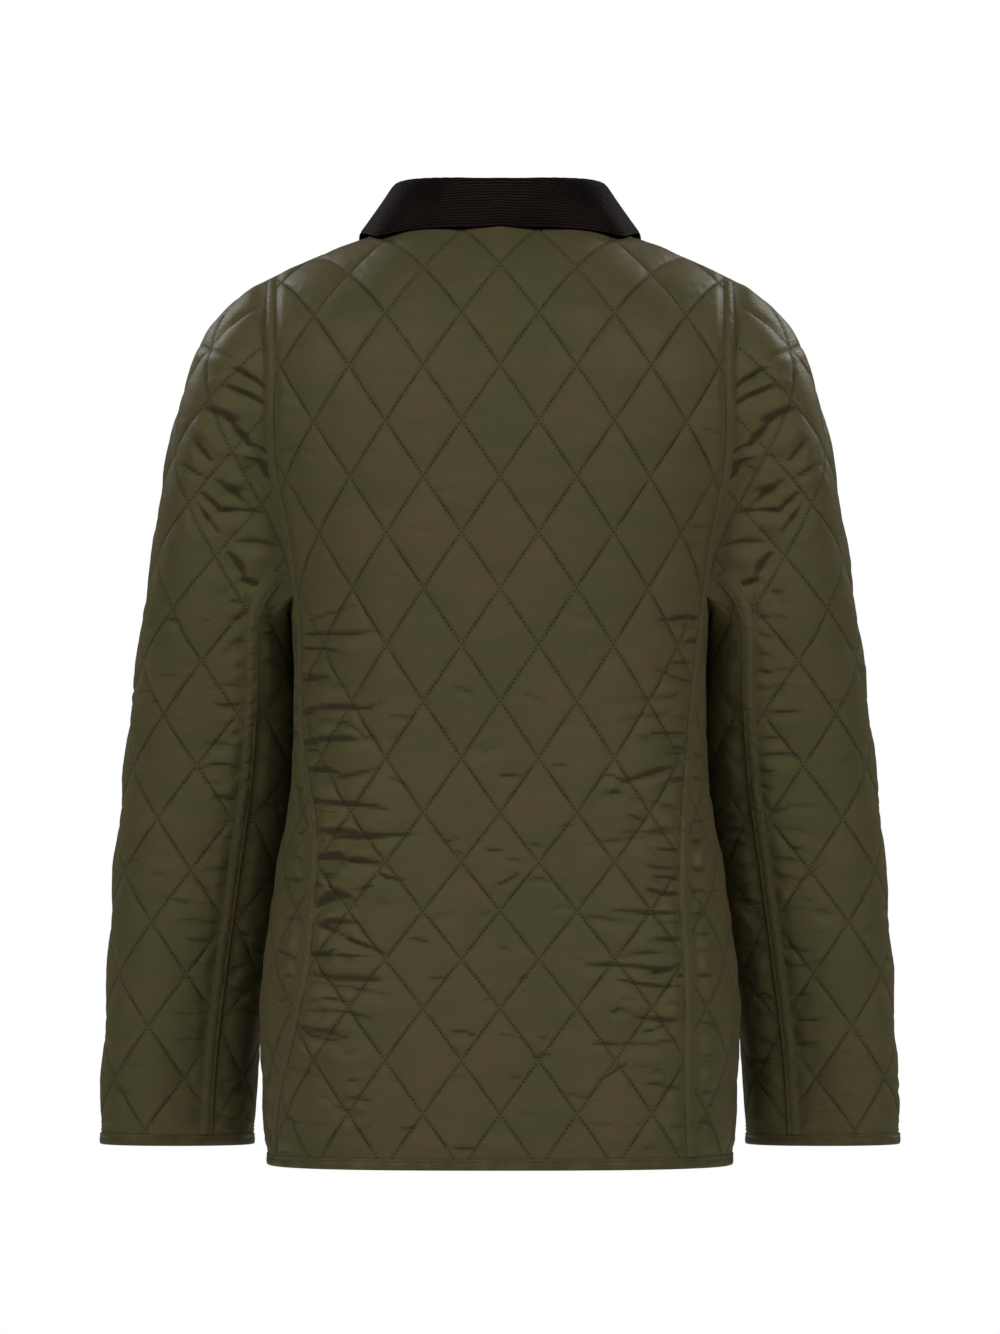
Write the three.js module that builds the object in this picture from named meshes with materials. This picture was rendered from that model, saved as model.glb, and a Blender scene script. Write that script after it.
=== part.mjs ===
// A hip-length quilted jacket, filled out as if worn: back, side panels, lapped fronts, two-piece
// sleeves, a turned-down collar on a stand, bound edges and press studs.
// Millimetres, +Z up. The front faces -Y and the wearer's right is -X. The origin is between the
// shoulders, at the level of the collar seam.
import * as THREE from "three";

// Cloth
const WALL = 2.2; // quilted cloth, pressed flat along a stitched line
const PUFF = 3.2; // how far the middle of a diamond stands out
const DIAMOND_HALF = 28.2; // half a diamond's width
const FLAT_SEAM = 5; // cloth beside a seam that is stitched flat
const SEAM_RISE = 16; // and over which the quilting comes up to its full height
const SEAM_GAP = 0.3;
const BEVEL = 1.2; // how much further the inner edge of a seam is cut back
const FINE = 2; // outer points to each half diamond

// Body
const HEM = -687;
const BLADE = -120; // from here up, back and front lean over to the shoulder seam
const RIDGE_Y = -5;
const BINDING = 7;
const LAP = 15; // each front crosses the centre line by this much
const LAP_DROP = 5.5; // how far the under front lies inside the upper one
const PLACKET = 34;
const NECK_HALF = 74;
const NECK_BACK = 50;
const NECK_FRONT = 79;
const TIP = 172.5; // shoulder point
const ARMHOLE_LOW = -278;

// Outline of the body from the hem up: half width, depth behind and before the middle, squareness.
const TORSO = [
  { z: -687, half: 171.5, back: 120, front: 128, power: 2.7 },
  { z: -640, half: 173, back: 119, front: 127, power: 2.7 },
  { z: -565, half: 175, back: 116, front: 125, power: 2.6 },
  { z: -490, half: 166, back: 109, front: 119, power: 2.5 },
  { z: -410, half: 154, back: 102, front: 113, power: 2.4 },
  { z: -350, half: 151.5, back: 101, front: 113, power: 2.3 },
  { z: -300, half: 152.5, back: 104, front: 116, power: 2.2 },
  { z: -265, half: 157.5, back: 107, front: 119, power: 2.1 },
  { z: -225, half: 169, back: 110, front: 122, power: 2.05 },
  { z: -180, half: 187, back: 113, front: 124, power: 2.0 },
  { z: -135, half: 204, back: 114, front: 124, power: 2.0 },
  { z: -120, half: 205, back: 114, front: 124, power: 2.0 },
];

// Height of the shoulder seam by its distance from the middle.
const SHOULDER = [
  { x: 0, z: 30 },
  { x: 74, z: 9 },
  { x: 106, z: -5 },
  { x: 137, z: -16.6 },
  { x: 163, z: -28.5 },
  { x: 173, z: -33.5 },
  { x: 185, z: -39.5 },
];

// Edge of the back panel on the right: side-back seam up to the armhole's foot, then the armhole,
// which is the same on both sides.
const BACK_EDGE = [
  { z: -687, x: 144 },
  { z: -640, x: 142 },
  { z: -566, x: 142 },
  { z: -529, x: 141 },
  { z: -492, x: 138 },
  { z: -455, x: 138 },
  { z: -418, x: 138.5 },
  { z: -388, x: 141 },
  { z: -359, x: 142.5 },
  { z: -329, x: 145 },
  { z: -300, x: 148 },
  { z: -267, x: 152 },
  { z: -225, x: 158.5 },
  { z: -203, x: 163.5 },
  { z: -173, x: 170 },
  { z: -138, x: 172.5 },
  { z: -120, x: 172.5 },
];

// The side-back seam on the left, which hangs further round, most of all at the hem.
const LEFT_BACK_EDGE = [
  { z: -687, x: 168 },
  { z: -655, x: 166.5 },
  { z: -625, x: 163.5 },
  { z: -596, x: 157.5 },
  { z: -566, x: 151.5 },
  { z: -551, x: 148 },
  { z: -522, x: 144.5 },
  { z: -492, x: 142 },
  { z: -455, x: 140 },
  { z: -433, x: 140 },
  { z: -418, x: 142 },
  { z: -403, x: 144.5 },
  { z: -374, x: 147.5 },
  { z: -340, x: 148.5 },
  { z: -300, x: 149 },
  { z: -267, x: 152 },
  { z: -225, x: 158.5 },
];

// Edge of a front panel, in the same way.
const FRONT_EDGE = [
  { z: -687, x: 146 },
  { z: -567, x: 148 },
  { z: -462, x: 139 },
  { z: -411, x: 134 },
  { z: -359, x: 135 },
  { z: -307, x: 141 },
  { z: -262, x: 147 },
  { z: -230, x: 145 },
  { z: -190, x: 146 },
  { z: -150, x: 151 },
  { z: -120, x: 157 },
];
const BACK_FOOT = -267;
const FRONT_FOOT = -262;

// Sleeve rings from the cuff up: outer and inner edge, middle and half depth from front to back.
const CUFF = -676;
const BICEP = -296;
const SLEEVE_POWER = 2.2;
const PRESSED = 0.5; // share of the quilting's height that is left where sleeve and body press together
const SLEEVE = [
  { z: -676, outer: 298.5, inner: 184.5, y: -82, deep: 42 },
  { z: -610, outer: 294.5, inner: 181, y: -80, deep: 44 },
  { z: -540, outer: 291, inner: 171, y: -75, deep: 47 },
  { z: -470, outer: 286, inner: 160, y: -67, deep: 50 },
  { z: -405, outer: 279, inner: 151.5, y: -57, deep: 54 },
  { z: -345, outer: 272, inner: 150, y: -44, deep: 58 },
  { z: -296, outer: 265.5, inner: 154, y: -30, deep: 61 },
  { z: -250, outer: 256, inner: 158, y: -18, deep: 63 },
];
const SLEEVE_SEAM = 0.335; // share of the way round from the outer line to each sleeve seam

// Where the sleeve's lines meet the armhole, as shares of the way round, and how they leave it.
const SLEEVE_HEAD = [
  { ring: 0, hole: 0, x: 0.9, y: 0, z: -0.44 },
  { ring: 0.125, hole: 0.15, x: 0.88, y: -0.22, z: -0.42 },
  { ring: 0.25, hole: 0.3, x: 0.82, y: -0.42, z: -0.38 },
  { ring: 0.335, hole: 0.41, x: 0.72, y: -0.25, z: -0.65 },
  { ring: 0.5, hole: 0.5, x: 0.5, y: 0, z: -0.86 },
];
const HEAD_PULL = 0.5; // handle lengths of a sleeve line, as shares of the distance it spans
const HOLE_PULL = 0.27;

// Heights of the rows where stitched lines cross, on the body and on the sleeves.
const BODY_ROWS = [-726, -646, -569, -498, -426, -345, -262, -180.6, -99.2, -18, 63];
const SLEEVE_ROW = 77.4;
const SLEEVE_ROW_FOOT = -664;

// Collar
const COLLAR_WALL = 2.6;
const STAND_WALL = 2;
const FOLD = [
  { turn: 0, half: 76, depth: 56, z: 40 },
  { turn: 60, half: 77, depth: 56, z: 40 },
  { turn: 90, half: 79, depth: 62, z: 33 },
  { turn: 135, half: 82, depth: 84, z: 2 },
  { turn: 180, half: 82, depth: 88, z: -28 },
];
// The collar's outer edge, by its distance from the middle and from the shoulder line.
const FALL_EDGE = [
  { turn: 0, x: 0, down: 71 },
  { turn: 10, x: 17.3, down: 66 },
  { turn: 40, x: 69, down: 43 },
  { turn: 62, x: 91, down: 31 },
  { turn: 90, x: 103, down: 0 },
  { turn: 120, x: 101, down: 45 },
  { turn: 150, x: 84, down: 100 },
  { turn: 180, x: 55, down: 160 },
];
const FALL_CLEAR = 6; // from the cloth below to the middle of the collar's wall
const COLLAR_STEPS = 44;
const COLLAR_OPEN = 178; // the collar's two ends stop this many degrees round from the centre back

// Press studs down the front
const STUD = { count: 6, radius: 7.5, rim: 0.8, high: 3.4, top: -105, spacing: 104 };

const CLOTH = { color: 0x47422b, roughness: 0.5, metalness: 0 };
const TAPE = { color: 0x413f27, roughness: 0.6, metalness: 0 };
const CORD_CLOTH = { color: 0x1c1310, roughness: 0.9, metalness: 0 };
const METAL = { color: 0x6b5836, roughness: 0.35, metalness: 0.9 };

const jacket = new THREE.Group();

// Tables and curves

// The smooth value of one column of a table, whose rows rise in `key`.
function read(table, key, column, at) {
  const last = table.length - 1;
  if (at <= table[0][key]) return table[0][column];
  if (at >= table[last][key]) return table[last][column];
  let i = 0;
  while (table[i + 1][key] < at) i++;
  const slope = (k) => {
    const before = table[Math.max(k - 1, 0)];
    const after = table[Math.min(k + 1, last)];
    return (after[column] - before[column]) / (after[key] - before[key]);
  };
  const span = table[i + 1][key] - table[i][key];
  const t = (at - table[i][key]) / span;
  const t2 = t * t;
  const t3 = t2 * t;
  return (
    (2 * t3 - 3 * t2 + 1) * table[i][column] +
    (t3 - 2 * t2 + t) * span * slope(i) +
    (3 * t2 - 2 * t3) * table[i + 1][column] +
    (t3 - t2) * span * slope(i + 1)
  );
}

const smooth = (from, to, at) => THREE.MathUtils.smoothstep(at, from, to);

// A line through points with its length measured along it. Past its ends it runs straight on.
class Measured {
  constructor(points) {
    this.points = points;
    this.lengths = [0];
    for (let i = 1; i < points.length; i++)
      this.lengths.push(this.lengths[i - 1] + points[i].distanceTo(points[i - 1]));
    this.total = this.lengths[points.length - 1];
  }
  at(length) {
    const { points, lengths } = this;
    let low = 0;
    let high = points.length - 1;
    while (high - low > 1) {
      const middle = (low + high) >> 1;
      if (lengths[middle] <= length) low = middle;
      else high = middle;
    }
    const share = (length - lengths[low]) / (lengths[high] - lengths[low]);
    return points[low].clone().lerp(points[high], share);
  }
  // The length at which `rises`, a function of a point that grows along the line, reaches `value`.
  lengthWhere(rises, value) {
    let low = 0;
    let high = this.total;
    for (let i = 0; i < 40; i++) {
      const middle = (low + high) / 2;
      if (rises(this.at(middle)) < value) low = middle;
      else high = middle;
    }
    return low;
  }
}

function remembered(make) {
  const kept = new Map();
  return (key) => {
    if (!kept.has(key)) kept.set(key, make(key));
    return kept.get(key);
  };
}

// The body's surface

const SECTION_STEPS = 160;

// Half of the level outline at a height, from centre back round to centre front, on the +X side.
const section = remembered((z) => {
  const [half, back, front, power] = ["half", "back", "front", "power"].map((column) =>
    read(TORSO, "z", column, z),
  );
  const points = [];
  for (let i = 0; i <= SECTION_STEPS; i++) {
    const turn = (Math.PI * i) / SECTION_STEPS;
    const deep = Math.cos(turn) > 0 ? back : front;
    const x = half * Math.abs(Math.sin(turn)) ** (2 / power);
    const y = deep * Math.sign(Math.cos(turn)) * Math.abs(Math.cos(turn)) ** (2 / power);
    points.push(new THREE.Vector3(x, y, z));
  }
  return new Measured(points);
});

// Distance round the outline at a height from centre back, or from centre front, to a given x.
function roundTo(face, z, x) {
  const whole = section(z);
  const widest = whole.lengthWhere((p) => -p.y, 0);
  const part = face === "back" ? [0, widest] : [widest, whole.total];
  let [low, high] = part;
  for (let i = 0; i < 40; i++) {
    const middle = (low + high) / 2;
    const outside = whole.at(middle).x > x;
    if (outside === (face === "back")) high = middle;
    else low = middle;
  }
  return face === "back" ? low : whole.total - low;
}

const PROFILE_STEPS = 48;

// The curve up from the blade line to the shoulder seam, at one distance from the middle.
const profiles = {
  back: remembered((x) => profile(x, "back", 0.5, 0.58, 6)),
  front: remembered((x) =>
    profile(x, "front", 0.18 + 0.25 * (x / TIP) ** 2, 0.46, 22 - 10 * (x / TIP)),
  ),
};

// It leaves the blade line upright for `rise` of the height, and comes to the seam from `reach` of
// the depth, `drop` below it.
function profile(x, face, rise, reach, drop) {
  const whole = section(BLADE);
  const round = roundTo(face, BLADE, x);
  const y = whole.at(face === "back" ? round : whole.total - round).y;
  const top = read(SHOULDER, "x", "z", x);
  const curve = new THREE.CubicBezierCurve3(
    new THREE.Vector3(x, y, BLADE),
    new THREE.Vector3(x, y, BLADE + rise * (top - BLADE)),
    new THREE.Vector3(x, RIDGE_Y + reach * (y - RIDGE_Y), top - drop),
    new THREE.Vector3(x, RIDGE_Y, top),
  );
  return new Measured(curve.getPoints(PROFILE_STEPS));
}

const BLADE_V = BLADE - HEM;

// A point of the body on the +X side: u runs round from centre back, or from centre front for the
// front, and v up from the hem.
function bodyPoint(face, u, v) {
  const sign = u < 0 ? -1 : 1;
  const round = Math.abs(u);
  let point;
  if (v <= BLADE_V) {
    const whole = section(HEM + v);
    point = whole.at(face === "front" ? whole.total - round : round).clone();
  } else {
    const whole = section(BLADE);
    const x = whole.at(face === "front" ? whole.total - round : round).x;
    point = profiles[face](x).at(v - BLADE_V);
  }
  point.x *= sign;
  return point;
}

// How far up a panel runs at one distance round: to the neckline or to the shoulder seam.
function bodyTop(face, u) {
  const whole = section(BLADE);
  const x = whole.at(face === "front" ? whole.total - Math.abs(u) : Math.abs(u)).x;
  const line = profiles[face](x);
  if (x >= NECK_HALF) return BLADE_V + line.total;
  const deep = face === "back" ? NECK_BACK : NECK_FRONT;
  const out = deep * Math.sqrt(1 - (x / NECK_HALF) ** 2);
  return BLADE_V + line.lengthWhere((p) => -Math.abs(p.y - RIDGE_Y), -out);
}

// The armhole, once round from the shoulder point by way of the back.

const BACK_ARM = roundTo("back", BLADE, TIP);
const FRONT_ARM = roundTo("front", BLADE, read(FRONT_EDGE, "z", "x", BLADE));
const FRONT_TIP = roundTo("front", BLADE, TIP);

// The foot of the armhole, across the top of a side panel: share 0 is at the back, 1 at the front.
function armholeFoot(share) {
  const ends = share < 0.5 ? BACK_FOOT : FRONT_FOOT;
  return ARMHOLE_LOW + (ends - ARMHOLE_LOW) * (2 * share - 1) ** 2;
}

function frontArmU(v) {
  if (v <= BLADE_V) return roundTo("front", HEM + v, read(FRONT_EDGE, "z", "x", HEM + v));
  const top = bodyTop("front", FRONT_TIP);
  return THREE.MathUtils.mapLinear(v, BLADE_V, top, FRONT_ARM, FRONT_TIP);
}

// Distance round from centre back to the back panel's edge, on the left where side is above 0.
function backArmU(v, side = -1) {
  if (v > BLADE_V) return BACK_ARM;
  const z = HEM + v;
  const edge = side > 0 && z < BACK_FOOT ? LEFT_BACK_EDGE : BACK_EDGE;
  return roundTo("back", z, read(edge, "z", "x", z));
}

const LOOP_STEP = 6;

function armholeLoop() {
  const points = [];
  const up = (from, to, point) => {
    const steps = Math.ceil(Math.abs(to - from) / LOOP_STEP);
    for (let i = 0; i < steps; i++) points.push(point(from + ((to - from) * i) / steps));
  };
  up(bodyTop("back", BACK_ARM), BACK_FOOT - HEM, (v) => bodyPoint("back", backArmU(v), v));
  const from = backArmU(BACK_FOOT - HEM);
  const to = section(FRONT_FOOT).total - frontArmU(FRONT_FOOT - HEM);
  const steps = Math.ceil((to - from) / LOOP_STEP);
  for (let i = 0; i < steps; i++)
    points.push(
      bodyPoint("back", from + ((to - from) * i) / steps, armholeFoot(i / steps) - HEM),
    );
  up(FRONT_FOOT - HEM, bodyTop("front", FRONT_TIP), (v) => bodyPoint("front", frontArmU(v), v));
  points.push(points[0].clone());
  return new Measured(points);
}

const armhole = armholeLoop();

// The sleeve's surface

const RING_STEPS = 120;

// A level ring of the sleeve, once round from its outer line by way of the back.
const ring = remembered((z) => {
  const [outer, inner, y, deep] = ["outer", "inner", "y", "deep"].map((column) =>
    read(SLEEVE, "z", column, z),
  );
  const points = [];
  for (let i = 0; i <= RING_STEPS; i++) {
    const turn = (2 * Math.PI * i) / RING_STEPS;
    const out = Math.sign(Math.cos(turn)) * Math.abs(Math.cos(turn)) ** (2 / SLEEVE_POWER);
    const back = Math.sign(Math.sin(turn)) * Math.abs(Math.sin(turn)) ** (2 / SLEEVE_POWER);
    points.push(
      new THREE.Vector3((outer + inner) / 2 + (out * (outer - inner)) / 2, y + deep * back, z),
    );
  }
  return new Measured(points);
});

const wrap = (share) => share - Math.floor(share);
const BICEP_V = BICEP - CUFF;

// The line from the bicep ring up to the armhole, at a share of the way round.
const headLine = remembered((share) => {
  const front = share > 0.5;
  const folded = front ? 1 - share : share;
  const [hole, x, y, z] = ["hole", "x", "y", "z"].map((column) =>
    read(SLEEVE_HEAD, "ring", column, folded),
  );
  const bicep = ring(BICEP);
  const foot = bicep.at(share * bicep.total);
  const below = ring(BICEP - 1);
  const along = foot.clone().sub(below.at(share * below.total)).normalize();
  const away = new THREE.Vector3(x, front ? -y : y, z).normalize();
  const head = armhole.at((front ? 1 - hole : hole) * armhole.total).addScaledVector(away, SEAM_GAP);
  const span = head.distanceTo(foot);
  const curve = new THREE.CubicBezierCurve3(
    foot,
    foot.clone().addScaledVector(along, HEAD_PULL * span),
    head.clone().addScaledVector(away, HOLE_PULL * span),
    head,
  );
  return new Measured(curve.getPoints(PROFILE_STEPS));
});

// A point of the +X sleeve: `middle` is the share where u is 0, and v runs up from the cuff.
function sleevePoint(middle, u, v) {
  if (v <= BICEP_V) {
    const level = ring(CUFF + v);
    return level.at(wrap(middle + u / level.total) * level.total);
  }
  return headLine(wrap(middle + u / ring(BICEP).total)).at(v - BICEP_V);
}

function sleeveTop(middle, u) {
  return BICEP_V + headLine(wrap(middle + u / ring(BICEP).total)).total;
}

// Quilting: `row` counts rows of crossings, so it rises by 1 from a row to the next but one.

function bodyRow(v) {
  const z = HEM + v;
  const rows = BODY_ROWS.map((height, index) => ({ height, index }));
  return read(rows, "height", "index", z);
}

function sleeveRow(v) {
  return (CUFF + v - SLEEVE_ROW_FOOT) / SLEEVE_ROW;
}

function quilting(u, row) {
  const across = u / (2 * DIAMOND_HALF);
  const one = Math.sin(Math.PI * (across + row));
  const other = Math.sin(Math.PI * (across - row));
  return Math.sqrt(Math.abs(one * other));
}

// Laying out a panel

// Heights between two levels at which a row count passes each 1 / steps.
function heightsOf(rowOf, from, to, steps) {
  const found = [];
  const first = Math.ceil(rowOf(from) * steps + 1e-6);
  for (let k = first; k < rowOf(to) * steps; k++) {
    let low = from;
    let high = to;
    for (let i = 0; i < 40; i++) {
      const middle = (low + high) / 2;
      if (rowOf(middle) * steps < k) low = middle;
      else high = middle;
    }
    found.push(low);
  }
  return found;
}

const LEAST_STEP = 0.4; // of a step: the nearest that a point comes to the edge

// A panel's points and triangles in its own flat (u, v): rows from its foot up to `shelf`, then
// columns from there to its top edge. It is cut back by `inset` at its sides and foot, and by
// `topInset` at its top.
function layOut(panel, fine, inset, topInset) {
  const points = [];
  const triangles = [];
  const stepU = DIAMOND_HALF / fine;
  const height = (u, v) => quilting(u - panel.startU, panel.row(v));
  const add = (u, v) => points.push({ u, v, height: height(u, v) }) - 1;
  const between = (left, right) => {
    const inside = [];
    const first = Math.ceil((left - panel.startU) / stepU + LEAST_STEP);
    for (let k = first; panel.startU + k * stepU < right - LEAST_STEP * stepU; k++)
      inside.push(panel.startU + k * stepU);
    return inside;
  };
  const cost = (a, b) => {
    const [p, q] = [points[a], points[b]];
    const across = Math.hypot(p.u - q.u, p.v - q.v) / stepU;
    return across + 2 * Math.abs(p.height - q.height) + p.height + q.height;
  };
  const levels = [panel.foot + inset];
  const rows = heightsOf(panel.row, panel.foot, panel.shelf, 2 * fine);
  const rowGap = rows.length > 1 ? rows[1] - rows[0] : stepU;
  rows.forEach((v) => {
    const clear = v > panel.foot + LEAST_STEP * rowGap && v < panel.shelf - LEAST_STEP * rowGap;
    if (clear) levels.push(v);
  });
  levels.push(panel.shelf);
  const grid = levels.map((v, level) => {
    const [left, right] = [panel.left(v) + inset, panel.right(v) - inset];
    let across = between(left, right);
    if (level === levels.length - 1 && panel.corners) {
      const apart = (u) => panel.corners.every((c) => Math.abs(u - c) > LEAST_STEP * stepU);
      across = across.filter(apart);
      across = [...across, ...panel.corners].sort((a, b) => a - b);
    }
    return [left, ...across, right].map((u) => add(u, v));
  });
  for (let i = 1; i < grid.length; i++) zip(grid[i - 1], grid[i], cost, triangles);
  const shelfRow = grid[grid.length - 1];
  const columns = shelfRow.map((base, index) => {
    const column = [base];
    const start = points[base].u;
    const edge = index === 0 ? panel.left : index === shelfRow.length - 1 ? panel.right : null;
    const cut = index === 0 ? inset : -inset;
    let top = panel.top(start) - topInset;
    for (let i = 0; edge && i < 12; i++) top = panel.top(edge(top)) - topInset;
    if (top < panel.shelf + 1) return column;
    const uAt = (v) => (edge ? edge(v) + cut : start);
    heightsOf(panel.row, panel.shelf, top, 2 * fine).forEach((v) => {
      const clear = v > panel.shelf + LEAST_STEP * rowGap && v < top - LEAST_STEP * rowGap;
      if (clear) column.push(add(uAt(v), v));
    });
    column.push(add(uAt(top), top));
    return column;
  });
  for (let i = 1; i < columns.length; i++) zip(columns[i], columns[i - 1], cost, triangles);
  const rim = [...grid[0]];
  for (let i = 1; i < grid.length; i++) rim.push(grid[i][grid[i].length - 1]);
  rim.push(...columns[columns.length - 1].slice(1));
  for (let i = columns.length - 2; i > 0; i--) rim.push(columns[i][columns[i].length - 1]);
  rim.push(...[...columns[0]].reverse());
  for (let i = grid.length - 2; i > 0; i--) rim.push(grid[i][0]);
  return { points, triangles, rim: rim.filter((index, i) => index !== rim[i - 1]) };
}

// Triangles between two lines of points that run the same way.
function zip(a, b, cost, triangles) {
  let i = 0;
  let j = 0;
  while (i < a.length - 1 || j < b.length - 1) {
    const onA = i < a.length - 1 ? cost(a[i + 1], b[j]) : Infinity;
    const onB = j < b.length - 1 ? cost(a[i], b[j + 1]) : Infinity;
    if (onA <= onB) triangles.push([a[i], a[++i], b[j]]);
    else triangles.push([a[i], b[j + 1], b[j++]]);
  }
}

function meshOf(name, positions, triangles, look) {
  const geometry = new THREE.BufferGeometry();
  geometry.setAttribute("position", new THREE.Float32BufferAttribute(positions.flat(), 3));
  let volume = 0;
  const [a, b, c] = [new THREE.Vector3(), new THREE.Vector3(), new THREE.Vector3()];
  triangles.forEach(([i, j, k]) => {
    volume += a.fromArray(positions[i]).dot(b.fromArray(positions[j]).cross(c.fromArray(positions[k])));
  });
  const facing = volume > 0 ? triangles : triangles.map(([i, j, k]) => [i, k, j]);
  geometry.setIndex(facing.flat());
  geometry.computeVertexNormals();
  const mesh = new THREE.Mesh(geometry, new THREE.MeshStandardMaterial(look));
  mesh.name = name;
  return mesh;
}

const NEAR = 1; // step for measuring how a surface leans

// The direction square to a surface at a point, which `point` gives from u and v.
function squareTo(point, u, v) {
  const across = point(u + NEAR, v).sub(point(u - NEAR, v));
  const up = point(u, v + NEAR).sub(point(u, v - NEAR));
  return across.cross(up).normalize();
}

// The outward direction on the body. Round from centre back the surface is seen from its inside.
function bodyOut(face, u, v) {
  const out = squareTo((a, b) => bodyPoint(face, a, b), u, v);
  return face === "back" ? out.negate() : out;
}

// A quilted panel as a closed wall: quilted outside, plain inside.
function quiltedPanel(name, panel) {
  const outer = layOut(panel, FINE, 0, 0);
  const inner = layOut(panel, 1, BEVEL, panel.topBevel ?? BEVEL);
  const place = ({ u, v }, away) => {
    const point = panel.point(u, v).addScaledVector(panel.out(u, v), away);
    return [point.x * panel.side, point.y, point.z];
  };
  const rise = (p) => {
    const top = panel.top(p.u) - p.v;
    const near = Math.min(p.u - panel.left(p.v), panel.right(p.v) - p.u, top, p.v - panel.foot);
    const open = panel.flatten ? panel.flatten(p.u, p.v) : 1;
    return PUFF * p.height * open * smooth(FLAT_SEAM, FLAT_SEAM + SEAM_RISE, near);
  };
  const drop = panel.drop ?? (() => 0);
  const positions = outer.points.map((p) => place(p, rise(p) - drop(p.u)));
  const shift = positions.length;
  positions.push(...inner.points.map((p) => place(p, -WALL - drop(p.u))));
  const triangles = [...outer.triangles];
  inner.triangles.forEach(([a, b, c]) => triangles.push([a + shift, c + shift, b + shift]));
  const all = [...outer.points, ...inner.points];
  const apart = (a, b) => Math.hypot(all[a].u - all[b].u, all[a].v - all[b].v);
  const rimA = [...outer.rim, outer.rim[0]];
  const rimB = [...inner.rim, inner.rim[0]].map((index) => index + shift);
  const band = [];
  zip(rimA, rimB, apart, band);
  triangles.push(...band.map(([a, b, c]) => [a, c, b]));
  jacket.add(meshOf(name, positions, triangles, CLOTH));
}

// Body panels

const FOOT = BINDING + SEAM_GAP;

// Distances round at which a panel has a column more, where the neckline turns up to the shoulder.
function neckColumns(face) {
  return [34, 49, 63, 77, 90].map((turn) =>
    roundTo(face, BLADE, NECK_HALF * Math.sin(THREE.MathUtils.degToRad(turn))),
  );
}

function backPanel() {
  quiltedPanel("back", {
    side: 1,
    point: (u, v) => bodyPoint("back", u, v),
    out: (u, v) => bodyOut("back", u, v),
    row: bodyRow,
    startU: 0,
    foot: FOOT,
    shelf: BLADE_V,
    left: (v) => SEAM_GAP / 2 - backArmU(v),
    right: (v) => backArmU(v, 1) - SEAM_GAP / 2,
    top: (u) => bodyTop("back", u) - SEAM_GAP,
    corners: [...neckColumns("back").map((u) => -u), ...neckColumns("back")],
  });
}

const SIDE_FREE = -480; // the arm is clear of the side panel below this height
const SIDE_PRESSED = -400;
const SIDE_SHELF_ROW = 5.5;
const FOOT_GAP = 1.4; // the armhole turns sharply at the ends of its foot

function sidePanel(name, side) {
  const edges = (v) => {
    const level = Math.min(v, FRONT_FOOT - HEM);
    const front = section(HEM + level).total - frontArmU(level);
    return [backArmU(Math.min(v, BACK_FOOT - HEM), side), front];
  };
  const [left, right] = edges(ARMHOLE_LOW - HEM);
  const [shelf] = heightsOf((v) => bodyRow(v) - SIDE_SHELF_ROW + 1, FOOT, BLADE_V, 1).filter(
    (v) => bodyRow(v) > SIDE_SHELF_ROW - 0.1,
  );
  quiltedPanel(name, {
    side,
    point: (u, v) => bodyPoint("back", u, v),
    out: (u, v) => bodyOut("back", u, v),
    row: bodyRow,
    startU: (left + right) / 2,
    foot: FOOT,
    shelf,
    left: (v) => edges(v)[0] + SEAM_GAP / 2,
    right: (v) => edges(v)[1] - SEAM_GAP / 2,
    top: (u) => armholeFoot((u - left) / (right - left)) - HEM - FOOT_GAP,
    flatten: (u, v) => 1 - (1 - PRESSED) * smooth(SIDE_FREE, SIDE_PRESSED, HEM + v),
  });
}

// The under front sinks behind the upper one as it nears the centre line.
const UNDER_FROM = 52;
const UNDER_TO = 24;

function frontPanel(name, side, under) {
  quiltedPanel(name, {
    side,
    point: (u, v) => bodyPoint("front", u, v),
    out: (u, v) => bodyOut("front", u, v),
    row: bodyRow,
    startU: 0,
    foot: FOOT,
    shelf: BLADE_V,
    left: () => BINDING + SEAM_GAP - LAP,
    right: (v) => frontArmU(v) - SEAM_GAP / 2,
    top: (u) => bodyTop("front", u) - SEAM_GAP,
    corners: neckColumns("front"),
    flatten: (u) => smooth(PLACKET - LAP, PLACKET - LAP + SEAM_RISE, u),
    drop: (u) => (under ? LAP_DROP * smooth(-UNDER_FROM, -UNDER_TO, -u) : 0),
  });
}

// Sleeves

const HEAD_BEVEL = 4; // the sleeve meets the body at a sharp angle under the arm

function sleevePanel(name, side, middle, reach, puff) {
  const half = (v) => reach * ring(Math.min(CUFF + v, BICEP)).total;
  quiltedPanel(name, {
    side,
    point: (u, v) => sleevePoint(middle, u, v),
    out: (u, v) => squareTo((a, b) => sleevePoint(middle, a, b), u, v),
    row: sleeveRow,
    startU: 0,
    foot: FOOT,
    shelf: BICEP_V,
    left: (v) => SEAM_GAP / 2 - half(v),
    right: (v) => half(v) - SEAM_GAP / 2,
    top: (u) => sleeveTop(middle, u) - SEAM_GAP,
    topBevel: HEAD_BEVEL,
    flatten: () => puff,
  });
}

// A strip of a fixed section along a line. Each station has a point and two directions, and the
// section is in those two. A closed strip joins its last station to its first.
function sweep(name, stations, outline, closed, look) {
  const positions = [];
  const triangles = [];
  stations.forEach(({ point, out, up }) => {
    outline.forEach(([a, b]) => {
      positions.push(point.clone().addScaledVector(out, a).addScaledVector(up, b).toArray());
    });
  });
  const size = outline.length;
  const spans = closed ? stations.length : stations.length - 1;
  for (let i = 0; i < spans; i++)
    for (let k = 0; k < size; k++) {
      const [a, b] = [i * size + k, i * size + ((k + 1) % size)];
      const [c, d] = [a, b].map((index) => (index + size) % positions.length);
      triangles.push([a, b, d], [a, d, c]);
    }
  if (!closed) {
    const end = (stations.length - 1) * size;
    for (let k = 1; k < size - 1; k++)
      triangles.push([0, k + 1, k], [end, end + k, end + k + 1]);
  }
  jacket.add(meshOf(name, positions, triangles, look));
}

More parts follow.
